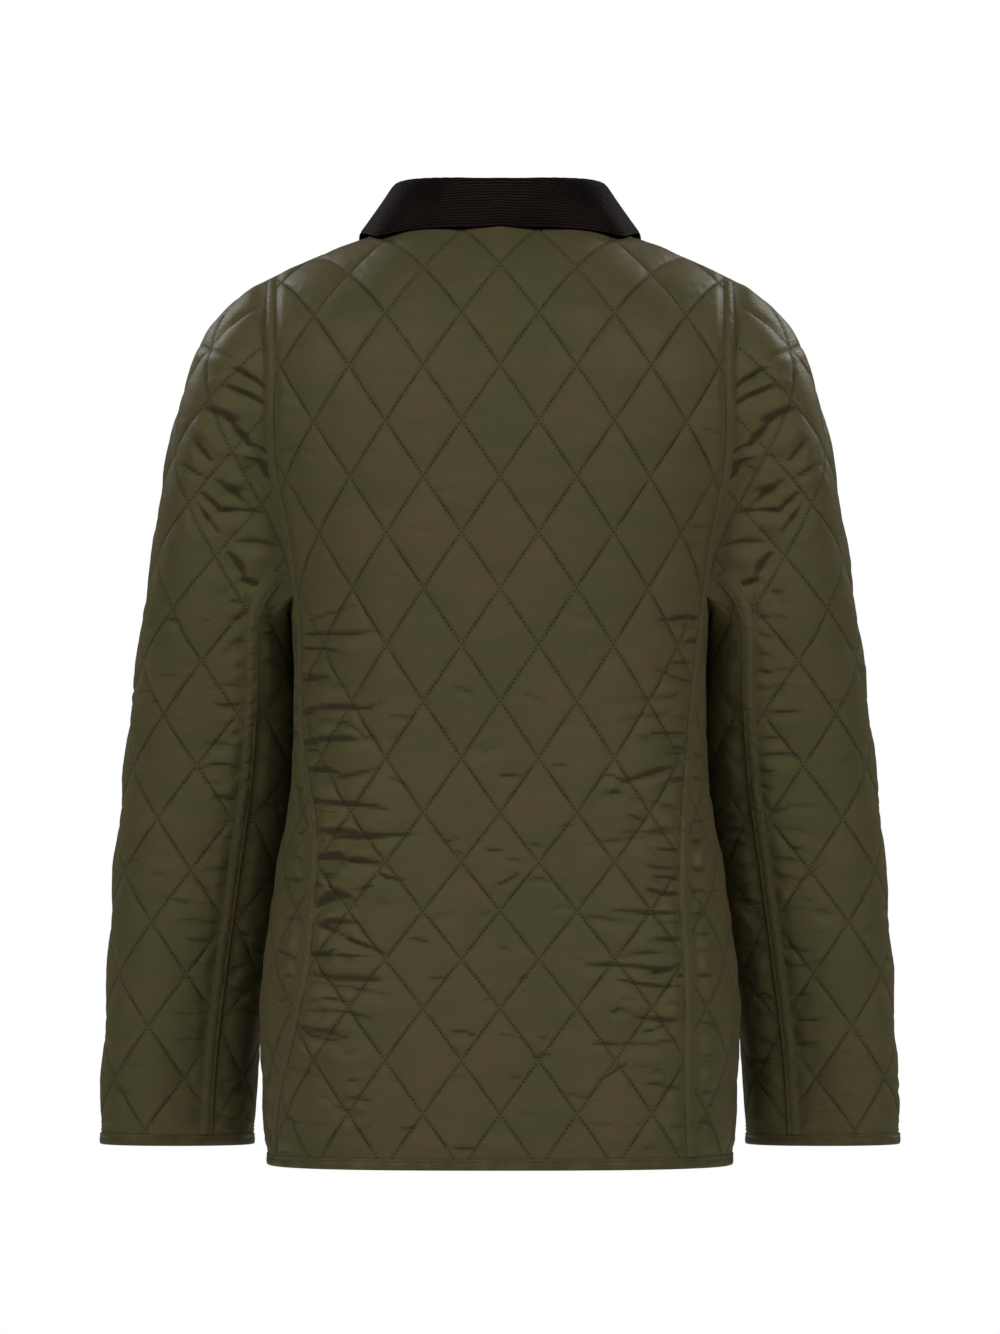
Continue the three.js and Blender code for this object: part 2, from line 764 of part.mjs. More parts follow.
// Bindings

const TAPE_HALF = 2.1;
const TAPE_CORNER = 1.2;

// A folded tape's section: an oblong with its two outer corners cut.
function tapeOutline() {
  const [a, b, c] = [TAPE_HALF, BINDING / 2, TAPE_CORNER];
  return [
    [a, c - b],
    [a, b - c],
    [a - c, b],
    [-a, b],
    [-a, -b],
    [a - c, -b],
  ];
}

const UP = new THREE.Vector3(0, 0, 1);

const HEM_STEPS = 76;

function hemBinding() {
  const v = BINDING / 2;
  const half = section(HEM + v).total;
  // A point on either side of the body, u round from centre back, and on past the centre front.
  const pointAt = (u) => {
    const past = Math.abs(u) > half;
    const point = bodyPoint("back", past ? 2 * half - Math.abs(u) : Math.abs(u), v);
    point.x *= Math.sign(u) * (past ? -1 : 1);
    return point;
  };
  const stations = [];
  for (let i = 0; i <= HEM_STEPS; i++) {
    const u = (half + LAP) * ((2 * i) / HEM_STEPS - 1);
    const out = UP.clone().cross(pointAt(u + NEAR).sub(pointAt(u - NEAR))).normalize();
    const drop = LAP_DROP * smooth(-UNDER_FROM, -UNDER_TO, u - half);
    const point = pointAt(u).addScaledVector(out, -WALL / 2 - drop);
    stations.push({ point, out, up: UP });
  }
  sweep("hem_binding", stations, tapeOutline(), false, TAPE);
}

const FRONT_STEPS = 26;
const BINDING_SHORT = 2; // the front binding stops this far under the collar

function frontBinding(name, side, under) {
  const u = BINDING / 2 - LAP;
  const [from, to] = [FOOT + SEAM_GAP, bodyTop("front", u) - BINDING_SHORT];
  const pointAt = (a, v) => bodyPoint("front", a, v);
  const stations = [];
  for (let i = 0; i <= FRONT_STEPS; i++) {
    const v = from + ((to - from) * i) / FRONT_STEPS;
    const out = bodyOut("front", u, v);
    const across = pointAt(u + NEAR, v).sub(pointAt(u - NEAR, v)).normalize();
    const point = pointAt(u, v).addScaledVector(out, -WALL / 2 - (under ? LAP_DROP : 0));
    [point, out, across].forEach((vector) => (vector.x *= side));
    stations.push({ point, out, up: across });
  }
  sweep(name, stations, tapeOutline(), false, TAPE);
}

const CUFF_STEPS = 36;

function cuffBinding(name, side) {
  const level = ring(CUFF + BINDING / 2);
  const pointAt = (length) => level.at(wrap(length / level.total) * level.total);
  const stations = [];
  for (let i = 0; i < CUFF_STEPS; i++) {
    const length = (level.total * i) / CUFF_STEPS;
    const out = pointAt(length + NEAR).sub(pointAt(length - NEAR)).cross(UP).normalize();
    const point = pointAt(length).addScaledVector(out, -WALL / 2);
    [point, out].forEach((vector) => (vector.x *= side));
    stations.push({ point, out, up: UP });
  }
  sweep(name, stations, tapeOutline(), true, TAPE);
}

// Collar

// The neck seam at an angle round from the centre back, on the +X side.
function neckPoint(turn) {
  const x = Math.min(NECK_HALF * Math.sin(turn), NECK_HALF - 0.01);
  const face = Math.cos(turn) >= 0 ? "back" : "front";
  return bodyPoint(face, roundTo(face, BLADE, x), bodyTop(face, roundTo(face, BLADE, x)));
}

function foldPoint(turn) {
  const degrees = THREE.MathUtils.radToDeg(turn);
  const [half, depth, z] = ["half", "depth", "z"].map((column) =>
    read(FOLD, "turn", column, degrees),
  );
  return new THREE.Vector3(half * Math.sin(turn), RIDGE_Y + depth * Math.cos(turn), z);
}

// The body from back to front over the shoulder, at one distance from the middle.
const girth = remembered((x) => [
  ...profiles.back(x).points,
  ...[...profiles.front(x).points].reverse().slice(1),
]);

// Moves a point straight out from the body until it is FALL_CLEAR away.
function clearOfBody(p) {
  const points = girth(Math.abs(p.x));
  const gap = (i) => Math.hypot(points[i].y - p.y, points[i].z - p.z);
  let nearest = 1;
  for (let i = 2; i < points.length - 1; i++) if (gap(i) < gap(nearest)) nearest = i;
  const along = points[nearest + 1].clone().sub(points[nearest - 1]);
  const out = new THREE.Vector3(0, along.z, -along.y).normalize();
  const away = p.clone().sub(points[nearest]).dot(out);
  return away < FALL_CLEAR ? p.addScaledVector(out, FALL_CLEAR - away) : p;
}

// The collar's outer edge, which lies on the cloth below it.
function fallPoint(turn) {
  const degrees = THREE.MathUtils.radToDeg(turn);
  const [x, down] = ["x", "down"].map((column) => read(FALL_EDGE, "turn", column, degrees));
  const line = profiles[degrees <= 90 ? "back" : "front"](x);
  return clearOfBody(line.at(line.total - down));
}

function collarStations(pathAt) {
  const stations = [];
  const end = THREE.MathUtils.degToRad(COLLAR_OPEN);
  for (let i = 0; i <= COLLAR_STEPS; i++) {
    const turn = end * ((2 * i) / COLLAR_STEPS - 1);
    const side = turn < 0 ? -1 : 1;
    const path = pathAt(Math.abs(turn));
    path.forEach((p) => (p.x *= side));
    stations.push({ path, turn });
  }
  return stations;
}

// A curved wall: each station has a path from its foot to its top, and the wall is centred on it.
function collarWall(name, stations, wall, look) {
  const size = stations[0].path.length;
  const positions = [];
  const triangles = [];
  const away = (i, k) => {
    const before = stations[Math.max(i - 1, 0)];
    const after = stations[Math.min(i + 1, stations.length - 1)];
    const round = after.path[k].clone().sub(before.path[k]);
    const { path } = stations[i];
    const up = path[Math.min(k + 1, size - 1)].clone().sub(path[Math.max(k - 1, 0)]);
    return round.cross(up).normalize();
  };
  stations.forEach(({ path }, i) => {
    [1, -1].forEach((face) => {
      path.forEach((p, k) => {
        positions.push(p.clone().addScaledVector(away(i, k), (face * wall) / 2).toArray());
      });
    });
  });
  const at = (i, face, k) => i * 2 * size + face * size + k;
  for (let i = 1; i < stations.length; i++) {
    for (let k = 1; k < size; k++) {
      triangles.push([at(i - 1, 0, k - 1), at(i, 0, k - 1), at(i, 0, k)]);
      triangles.push([at(i - 1, 0, k - 1), at(i, 0, k), at(i - 1, 0, k)]);
      triangles.push([at(i - 1, 1, k - 1), at(i, 1, k), at(i, 1, k - 1)]);
      triangles.push([at(i - 1, 1, k - 1), at(i - 1, 1, k), at(i, 1, k)]);
    }
    [0, size - 1].forEach((k, end) => {
      const band = [at(i - 1, 0, k), at(i, 0, k), at(i, 1, k), at(i - 1, 1, k)];
      if (end === 0) band.reverse();
      triangles.push([band[0], band[1], band[2]], [band[0], band[2], band[3]]);
    });
  }
  [0, stations.length - 1].forEach((i) => {
    for (let k = 1; k < size; k++) {
      const band = [at(i, 0, k - 1), at(i, 0, k), at(i, 1, k), at(i, 1, k - 1)];
      if (i > 0) band.reverse();
      triangles.push([band[0], band[1], band[2]], [band[0], band[2], band[3]]);
    }
  });
  jacket.add(meshOf(name, positions, triangles, look));
}

const STAND_INSET = 2.8; // from the neck seam in to the middle of the stand

// The way over the fold, from the top of the stand: `in` from the fold line and `up` from it.
const ROLL = [
  { in: 3.2, up: -4.5 },
  { in: 2.4, up: -1 },
  { in: 0.5, up: 0.6 },
  { in: -1.3, up: -1 },
];
const FALL_SHARES = [0.2, 0.42, 0.64, 0.84, 1]; // points down the fall, from the fold to the edge

function inward(p, by) {
  const middle = new THREE.Vector3(0, RIDGE_Y, p.z);
  return p.clone().addScaledVector(middle.sub(p).normalize(), by);
}

function collar() {
  const stand = collarStations((turn) => {
    const top = inward(foldPoint(turn), ROLL[0].in);
    top.z += ROLL[0].up - 2 * SEAM_GAP;
    const foot = inward(neckPoint(turn), STAND_INSET);
    return [0, 0.5, 1].map((share) => foot.clone().lerp(top, share));
  });
  collarWall("collar_stand", stand, STAND_WALL, CORD_CLOTH);
  const fall = collarStations((turn) => {
    const fold = foldPoint(turn);
    const over = ROLL.map((row) => inward(fold, row.in).setZ(fold.z + row.up));
    const last = over[over.length - 1];
    const edge = fallPoint(turn);
    return [...over, ...FALL_SHARES.map((share) => clearOfBody(last.clone().lerp(edge, share)))];
  });
  collarWall("collar_fall", fall, COLLAR_WALL, CORD_CLOTH);
}

// A press stud's cap, a low dome on a short rim, standing on the upper front.
function studCap() {
  const { radius, high, rim } = STUD;
  const outline = [new THREE.Vector2(0, 0), new THREE.Vector2(radius - rim, 0)];
  for (let i = 0; i < 3; i++) {
    const turn = (Math.PI / 2) * (i / 3);
    outline.push(new THREE.Vector2(radius * Math.cos(turn), rim + (high - rim) * Math.sin(turn)));
  }
  outline.push(new THREE.Vector2(0, high));
  return new THREE.LatheGeometry(outline, 16);
}

const STUD_GAP = 0.5;

function studs() {
  for (let i = 0; i < STUD.count; i++) {
    const v = STUD.top - i * STUD.spacing - HEM;
    const out = bodyOut("front", 0, v);
    const mesh = new THREE.Mesh(studCap(), new THREE.MeshStandardMaterial(METAL));
    mesh.name = `stud_${i + 1}`;
    mesh.position.copy(bodyPoint("front", 0, v).addScaledVector(out, STUD_GAP));
    mesh.quaternion.setFromUnitVectors(new THREE.Vector3(0, 1, 0), out);
    jacket.add(mesh);
  }
}

backPanel();
// The right front laps over the left, as on a woman's jacket.
for (const [word, side] of [["left", 1], ["right", -1]]) {
  sidePanel(`side_${word}`, side);
  frontPanel(`front_${word}`, side, side > 0);
  frontBinding(`front_binding_${word}`, side, side > 0);
  sleevePanel(`sleeve_upper_${word}`, side, 0, SLEEVE_SEAM, 1);
  sleevePanel(`sleeve_under_${word}`, side, 0.5, 0.5 - SLEEVE_SEAM, PRESSED);
  cuffBinding(`cuff_binding_${word}`, side);
}
hemBinding();
collar();
studs();

export default jacket;
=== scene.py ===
import math

import bpy
import numpy as np
from bpy.props import FloatProperty, FloatVectorProperty, PointerProperty
from mathutils import Matrix, Vector


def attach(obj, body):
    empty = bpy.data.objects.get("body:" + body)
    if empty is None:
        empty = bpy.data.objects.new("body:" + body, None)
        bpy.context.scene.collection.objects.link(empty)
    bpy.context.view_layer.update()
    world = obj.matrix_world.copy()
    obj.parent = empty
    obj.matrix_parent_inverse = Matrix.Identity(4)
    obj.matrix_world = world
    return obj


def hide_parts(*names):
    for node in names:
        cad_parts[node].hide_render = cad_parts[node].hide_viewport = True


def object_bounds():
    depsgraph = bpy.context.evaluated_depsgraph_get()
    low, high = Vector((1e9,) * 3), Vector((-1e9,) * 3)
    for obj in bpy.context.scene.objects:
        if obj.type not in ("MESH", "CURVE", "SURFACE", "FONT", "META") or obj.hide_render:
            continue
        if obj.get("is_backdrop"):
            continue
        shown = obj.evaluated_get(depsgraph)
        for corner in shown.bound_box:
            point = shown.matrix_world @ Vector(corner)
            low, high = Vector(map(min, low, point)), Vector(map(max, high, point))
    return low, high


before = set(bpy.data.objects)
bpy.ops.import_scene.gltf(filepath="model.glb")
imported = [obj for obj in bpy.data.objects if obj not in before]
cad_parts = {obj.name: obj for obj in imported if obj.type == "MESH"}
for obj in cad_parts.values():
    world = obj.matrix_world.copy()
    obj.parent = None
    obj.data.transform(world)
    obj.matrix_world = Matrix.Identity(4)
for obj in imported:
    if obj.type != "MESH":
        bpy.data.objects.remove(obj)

bl_info = {
    "name": "Quilted Jacket",
    "version": (1, 0, 0),
    "blender": (4, 5, 0),
    "location": "View3D > Sidebar > Jacket",
    "description": "Makes a diamond-quilted jacket with a corduroy collar, panel by panel",
    "category": "Add Mesh",
}

CAD_BOX = [list(corner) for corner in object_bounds()]
BODY = "root"
MM = 0.001

# Sizes that the jacket shares with its solids, in millimetres. The front faces -Y, and the wearer's
# right is -X.
WALL = 2.2
DIAMOND = 56.4  # width of a diamond
HEM, BLADE, RIDGE_Y = -687, -120, -5
BINDING = 7
LAP, LAP_DROP = 15, 5.5  # each front crosses the middle, and the under one lies inside the other
UNDER_FROM, UNDER_TO = 52, 24
PLACKET = 34
NECK_HALF, NECK_BACK, NECK_FRONT = 74, 50, 79
TIP = 172.5
ARMHOLE_LOW, BACK_FOOT, FRONT_FOOT = -278, -267, -262
CUFF, BICEP, SLEEVE_POWER, SLEEVE_SEAM = -676, -296, 2.2, 0.335
SIDE_FREE, SIDE_PRESSED, PRESSED = -480, -400, 0.5
SEAM_GAP = 0.3
FOOT_GAP = 0.5
SLEEVE_ROW, SLEEVE_ROW_FOOT = 77.4, -664
COLLAR_OPEN, COLLAR_WALL, STAND_WALL, STAND_INSET, FALL_CLEAR = 178, 2.6, 2, 2.8, 6
EDGE_CLEAR = 4.2
STUD_COUNT, STUD_RADIUS, STUD_HIGH, STUD_TOP, STUD_SPACING, STUD_GAP = 6, 7.5, 3.4, -105, 104, 0.5
SECTION_STEPS, RING_STEPS, PROFILE_STEPS = 160, 120, 48
FOOT = BINDING + SEAM_GAP
BLADE_V = BLADE - HEM
BICEP_V = BICEP - CUFF


class Table:
    """Rows of sizes with named columns, read smoothly between the rows of the first column."""

    def __init__(self, names, rows):
        self.names = names.split()
        self.rows = np.array(rows, float)

    def read(self, column, at):
        key = self.rows[:, 0]
        value = self.rows[:, self.names.index(column)]
        before = np.maximum(np.arange(len(key)) - 1, 0)
        after = np.minimum(np.arange(len(key)) + 1, len(key) - 1)
        slope = (value[after] - value[before]) / (key[after] - key[before])
        at = np.clip(at, key[0], key[-1])
        i = np.clip(np.searchsorted(key, at, side="right") - 1, 0, len(key) - 2)
        span = key[i + 1] - key[i]
        t = (at - key[i]) / span
        return (
            (2 * t**3 - 3 * t**2 + 1) * value[i]
            + (t**3 - 2 * t**2 + t) * span * slope[i]
            + (3 * t**2 - 2 * t**3) * value[i + 1]
            + (t**3 - t**2) * span * slope[i + 1]
        )


TORSO = Table("z half back front power", [
    (-687, 171.5, 120, 128, 2.7),
    (-640, 173, 119, 127, 2.7),
    (-565, 175, 116, 125, 2.6),
    (-490, 166, 109, 119, 2.5),
    (-410, 154, 102, 113, 2.4),
    (-350, 151.5, 101, 113, 2.3),
    (-300, 152.5, 104, 116, 2.2),
    (-265, 157.5, 107, 119, 2.1),
    (-225, 169, 110, 122, 2.05),
    (-180, 187, 113, 124, 2.0),
    (-135, 204, 114, 124, 2.0),
    (-120, 205, 114, 124, 2.0),
])
SHOULDER = Table("x z", [
    (0, 30), (74, 9), (106, -5), (137, -16.6), (163, -28.5), (173, -33.5), (185, -39.5),
])
BACK_EDGE = Table("z x", [
    (-687, 144), (-640, 142), (-566, 142), (-529, 141), (-492, 138), (-455, 138), (-418, 138.5),
    (-388, 141), (-359, 142.5), (-329, 145), (-300, 148), (-267, 152), (-225, 158.5),
    (-203, 163.5), (-173, 170), (-138, 172.5), (-120, 172.5),
])
# The left side-back seam hangs further round, most of all at the hem.
LEFT_BACK_EDGE = Table("z x", [
    (-687, 168), (-655, 166.5), (-625, 163.5), (-596, 157.5), (-566, 151.5), (-551, 148),
    (-522, 144.5), (-492, 142), (-455, 140), (-433, 140), (-418, 142), (-403, 144.5),
    (-374, 147.5), (-340, 148.5), (-300, 149), (-267, 152), (-225, 158.5),
])
FRONT_EDGE = Table("z x", [
    (-687, 146), (-567, 148), (-462, 139), (-411, 134), (-359, 135), (-307, 141), (-262, 147),
    (-230, 145), (-190, 146), (-150, 151), (-120, 157),
])
SLEEVE = Table("z outer inner y deep", [
    (-676, 298.5, 184.5, -82, 42),
    (-610, 294.5, 181, -80, 44),
    (-540, 291, 171, -75, 47),
    (-470, 286, 160, -67, 50),
    (-405, 279, 151.5, -57, 54),
    (-345, 272, 150, -44, 58),
    (-296, 265.5, 154, -30, 61),
    (-250, 256, 158, -18, 63),
])
SLEEVE_HEAD = Table("ring hole x y z", [
    (0, 0, 0.9, 0, -0.44),
    (0.125, 0.15, 0.88, -0.22, -0.42),
    (0.25, 0.3, 0.82, -0.42, -0.38),
    (0.335, 0.41, 0.72, -0.25, -0.65),
    (0.5, 0.5, 0.5, 0, -0.86),
])
HEAD_PULL, HOLE_PULL = 0.5, 0.27
BODY_ROWS = Table("z row", [
    (-726, 0), (-646, 1), (-569, 2), (-498, 3), (-426, 4), (-345, 5), (-262, 6), (-180.6, 7),
    (-99.2, 8), (-18, 9), (63, 10),
])
FOLD = Table("turn half depth z", [
    (0, 76, 56, 38.2), (60, 77, 56, 38.2), (90, 79, 62, 32), (135, 82, 84, 2), (180, 82, 88, -28),
])
FALL_EDGE = Table("turn x down", [
    (0, 0, 73), (10, 17.3, 68), (40, 69, 45), (62, 91, 33), (90, 103, 0), (120, 101, 45),
    (150, 84, 100), (180, 55, 160),
])
# The way over the collar's fold, from the top of the stand: in from the fold line, and up from it.
ROLL = ((3.2, -4.5), (2.4, -1), (0.5, 0.6), (-1.3, -1))

# A seam's raised strip: distance in from the panel's edge, and height over the panel. Its folded
# edge laps over the seam, and its two low places are its rows of stitches.
STRIP = Table("inset high", [
    (-0.45, 0.2), (0.3, 1.05), (1.5, 0.75), (2.6, 1.25), (4.2, 1.45), (5.8, 1.4), (7.1, 1.1), (8.1, 0.5),
    (8.9, 0.55), (9.5, -0.6),
])


def smooth(start, end, at):
    t = np.clip((at - start) / (end - start), 0, 1)
    return t * t * (3 - 2 * t)


def unit(vectors):
    return vectors / np.maximum(np.linalg.norm(vectors, axis=-1, keepdims=True), 1e-9)


def measured(points):
    """Length from the start to each point of lines of points."""
    gaps = np.linalg.norm(np.diff(points, axis=-2), axis=-1)
    return np.concatenate([np.zeros(gaps.shape[:-1] + (1,)), np.cumsum(gaps, axis=-1)], axis=-1)


def curve_shares(t):
    """How much of each of a curve's four handles lies in its points."""
    return [(1 - t) ** 3, 3 * t * (1 - t) ** 2, 3 * t**2 * (1 - t), t**3]


def along(points, lengths, at):
    """Points at some lengths along one line, which runs straight on past its ends."""
    i = np.clip(np.searchsorted(lengths, at, side="right") - 1, 0, len(lengths) - 2)
    share = ((at - lengths[i]) / (lengths[i + 1] - lengths[i]))[..., None]
    return points[i] * (1 - share) + points[i + 1] * share


class Noise:
    """Smooth unevenness between -1 and 1, which is the same in each run."""

    SIZE = 128

    def __init__(self, seed):
        self.values = np.random.RandomState(seed).uniform(-1, 1, (self.SIZE, self.SIZE))

    def __call__(self, x, y=0.0):
        x, y = np.broadcast_arrays(np.asarray(x, float), np.asarray(y, float))
        i, j = np.floor(x).astype(int), np.floor(y).astype(int)
        s, t = smooth(0, 1, x - i), smooth(0, 1, y - j)
        corner = lambda a, b: self.values[(i + a) % self.SIZE, (j + b) % self.SIZE]
        low = corner(0, 0) * (1 - s) + corner(1, 0) * s
        high = corner(0, 1) * (1 - s) + corner(1, 1) * s
        return low * (1 - t) + high * t


# The jacket's surfaces


def sections(z):
    """Level outlines at some heights, from centre back round to centre front on the +X side."""
    z = np.atleast_1d(z).astype(float)
    half, back, front, power = (
        TORSO.read(column, z)[:, None] for column in ("half", "back", "front", "power")
    )
    turn = np.linspace(0, math.pi, SECTION_STEPS + 1)[None]
    deep = np.where(np.cos(turn) > 0, back, front)
    x = half * np.abs(np.sin(turn)) ** (2 / power)
    y = deep * np.sign(np.cos(turn)) * np.abs(np.cos(turn)) ** (2 / power)
    return np.stack([x, y, np.broadcast_to(z[:, None], x.shape)], axis=-1)


def round_to(face, z, x):
    """Distance round the outline at a height from centre back, or centre front, to a given x."""
    points = sections(z)[0]
    lengths = measured(points)
    half = SECTION_STEPS // 2
    if face == "back":
        return np.interp(x, points[: half + 1, 0], lengths[: half + 1])
    return np.interp(x, points[:half - 1:-1, 0], lengths[-1] - lengths[:half - 1:-1])


def profiles(face, x, y):
    """Curves up from points of the blade line to the shoulder seam."""
    top = SHOULDER.read("z", x)
    if face == "back":
        rise, reach, drop = 0.5 + 0 * x, 0.58, 6 + 0 * x
    else:
        rise, reach, drop = 0.18 + 0.25 * (x / TIP) ** 2, 0.46, 22 - 10 * (x / TIP)
    handles = [
        (y, BLADE + 0 * x),
        (y, BLADE + rise * (top - BLADE)),
        (RIDGE_Y + reach * (y - RIDGE_Y), top - drop),
        (RIDGE_Y + 0 * x, top),
    ]
    shares = curve_shares(np.linspace(0, 1, PROFILE_STEPS + 1))
    flat = [sum(h[k][..., None] * s for h, s in zip(handles, shares)) for k in (0, 1)]
    return np.stack([np.broadcast_to(x[..., None], flat[0].shape), *flat], axis=-1)


NEAR = 2.0  # how far to each side a direction is measured


class Cloth:
    """A surface as a grid of points at even distances round and at levels going up."""

    def __init__(self, levels, grid, step, facing):
        self.levels, self.grid, self.step, self.facing = levels, grid, step, facing

    def at(self, u, v):
        u, v = np.broadcast_arrays(np.asarray(u, float), np.asarray(v, float))
        side = np.where(u < 0, -1.0, 1.0)
        far = np.abs(u) / self.step
        j = np.clip(far.astype(int), 0, self.grid.shape[1] - 2)
        point = self.between(j, far - j, v)
        point[..., 0] *= side
        return point

    def between(self, j, across, v):
        i = np.clip(np.searchsorted(self.levels, v, side="right") - 1, 0, len(self.levels) - 2)
        up = ((v - self.levels[i]) / (self.levels[i + 1] - self.levels[i]))[..., None]
        across = across[..., None]
        low = self.grid[i, j] * (1 - across) + self.grid[i, j + 1] * across
        high = self.grid[i + 1, j] * (1 - across) + self.grid[i + 1, j + 1] * across
        return low * (1 - up) + high * up

    def out(self, u, v):
        """The outward direction."""
        across = self.at(u + NEAR, v) - self.at(u - NEAR, v)
        up = self.at(u, v + NEAR) - self.at(u, v - NEAR)
        return unit(np.cross(across, up)) * self.facing


GRID_UP, GRID_TOP = 3.0, 2.0
ROUND_REACH, PROFILE_REACH, TOPS_REACH = 330, 264, 262


def body_cloth(face):
    low = np.arange(0, BLADE_V + GRID_UP / 2, GRID_UP)
    points = sections(HEM + low)
    lengths = measured(points)
    around = np.arange(0.0, ROUND_REACH)
    rows = []
    for line, length in zip(points, lengths):
        rows.append(along(line, length, around if face == "back" else length[-1] - around))
    grid = np.array(rows)
    curves = profiles(face, grid[-1, :, 0], grid[-1, :, 1])
    lengths = measured(curves)
    heights = np.arange(GRID_TOP, PROFILE_REACH, GRID_TOP)
    high = np.array([along(curve, length, heights) for curve, length in zip(curves, lengths)])
    levels = np.concatenate([low, BLADE_V + heights])
    grid = np.concatenate([grid, high.transpose(1, 0, 2)])
    return Cloth(levels, grid, 1.0, -1 if face == "back" else 1)


BODY_CLOTH = {face: body_cloth(face) for face in ("back", "front")}


def body_tops(face):
    """How far up a panel runs at each distance round: to the neckline or the shoulder seam."""
    u = np.arange(0, TOPS_REACH, 0.5)
    foot = BODY_CLOTH[face].at(u, BLADE_V)
    curves = profiles(face, foot[:, 0], foot[:, 1])
    lengths = measured(curves)
    tops = BLADE_V + lengths[:, -1]
    deep = NECK_BACK if face == "back" else NECK_FRONT
    for i in np.flatnonzero(foot[:, 0] < NECK_HALF):
        away = deep * math.sqrt(1 - (foot[i, 0] / NECK_HALF) ** 2)
        depth = np.abs(curves[i, :, 1] - RIDGE_Y)
        tops[i] = BLADE_V + np.interp(away, depth[::-1], lengths[i, ::-1])
    return u, tops


BODY_TOPS = {face: body_tops(face) for face in ("back", "front")}


def body_top(face, u):
    return np.interp(np.abs(u), *BODY_TOPS[face])


EDGE_LEVELS = np.arange(0, BLADE_V + 1, 2.0)
BACK_ARM = round_to("back", BLADE, TIP)
FRONT_ARM = round_to("front", BLADE, FRONT_EDGE.read("x", BLADE))
FRONT_TIP = round_to("front", BLADE, TIP)
FRONT_TIP_TOP = body_top("front", FRONT_TIP)
BACK_ARMS = [round_to("back", HEM + v, BACK_EDGE.read("x", HEM + v)) for v in EDGE_LEVELS]
LEFT_ARMS = [
    round_to("back", HEM + v, (LEFT_BACK_EDGE if HEM + v < BACK_FOOT else BACK_EDGE).read("x", HEM + v))
    for v in EDGE_LEVELS
]
FRONT_ARMS = [round_to("front", HEM + v, FRONT_EDGE.read("x", HEM + v)) for v in EDGE_LEVELS]
ROUND_HALF = measured(sections(HEM + EDGE_LEVELS))[:, -1]


def back_arm(v, side=-1):
    """Distance round from centre back to the back panel's edge."""
    return np.interp(v, EDGE_LEVELS, LEFT_ARMS if side > 0 else BACK_ARMS)


def front_arm(v):
    above = FRONT_ARM + (FRONT_TIP - FRONT_ARM) * (v - BLADE_V) / (FRONT_TIP_TOP - BLADE_V)
    return np.where(v <= BLADE_V, np.interp(v, EDGE_LEVELS, FRONT_ARMS), above)


def half_round(v):
    return np.interp(v, EDGE_LEVELS, ROUND_HALF)


def armhole_foot(share):
    """The foot of the armhole across a side panel, from its back at 0 to its front at 1."""
    ends = np.where(share < 0.5, BACK_FOOT, FRONT_FOOT)
    return ARMHOLE_LOW + (ends - ARMHOLE_LOW) * (2 * share - 1) ** 2


def armhole_line():
    """The armhole once round, from the shoulder point by way of the back."""
    back, front = BODY_CLOTH["back"], BODY_CLOTH["front"]
    ends = (BACK_FOOT - HEM, FRONT_FOOT - HEM)
    down = np.linspace(body_top("back", BACK_ARM), ends[0], 60)[:-1]
    share = np.linspace(0, 1, 20)[:-1]
    from_u, to_u = back_arm(ends[0]), half_round(ends[1]) - front_arm(ends[1])
    up = np.linspace(ends[1], FRONT_TIP_TOP, 60)[:-1]
    line = np.concatenate([
        back.at(back_arm(down), down),
        back.at(from_u + (to_u - from_u) * share, armhole_foot(share) - HEM),
        front.at(front_arm(up), up),
    ])
    return np.concatenate([line, line[:1]])


RING_SHARES = 480
SLEEVE_UP, HEAD_UP, HEAD_REACH = 4.0, 2, 330  # steps up the sleeve and its head, and past its top
TURN_FROM, TURN_TO = 25, 60  # distance from the outer line over which the lines turn to run straight up


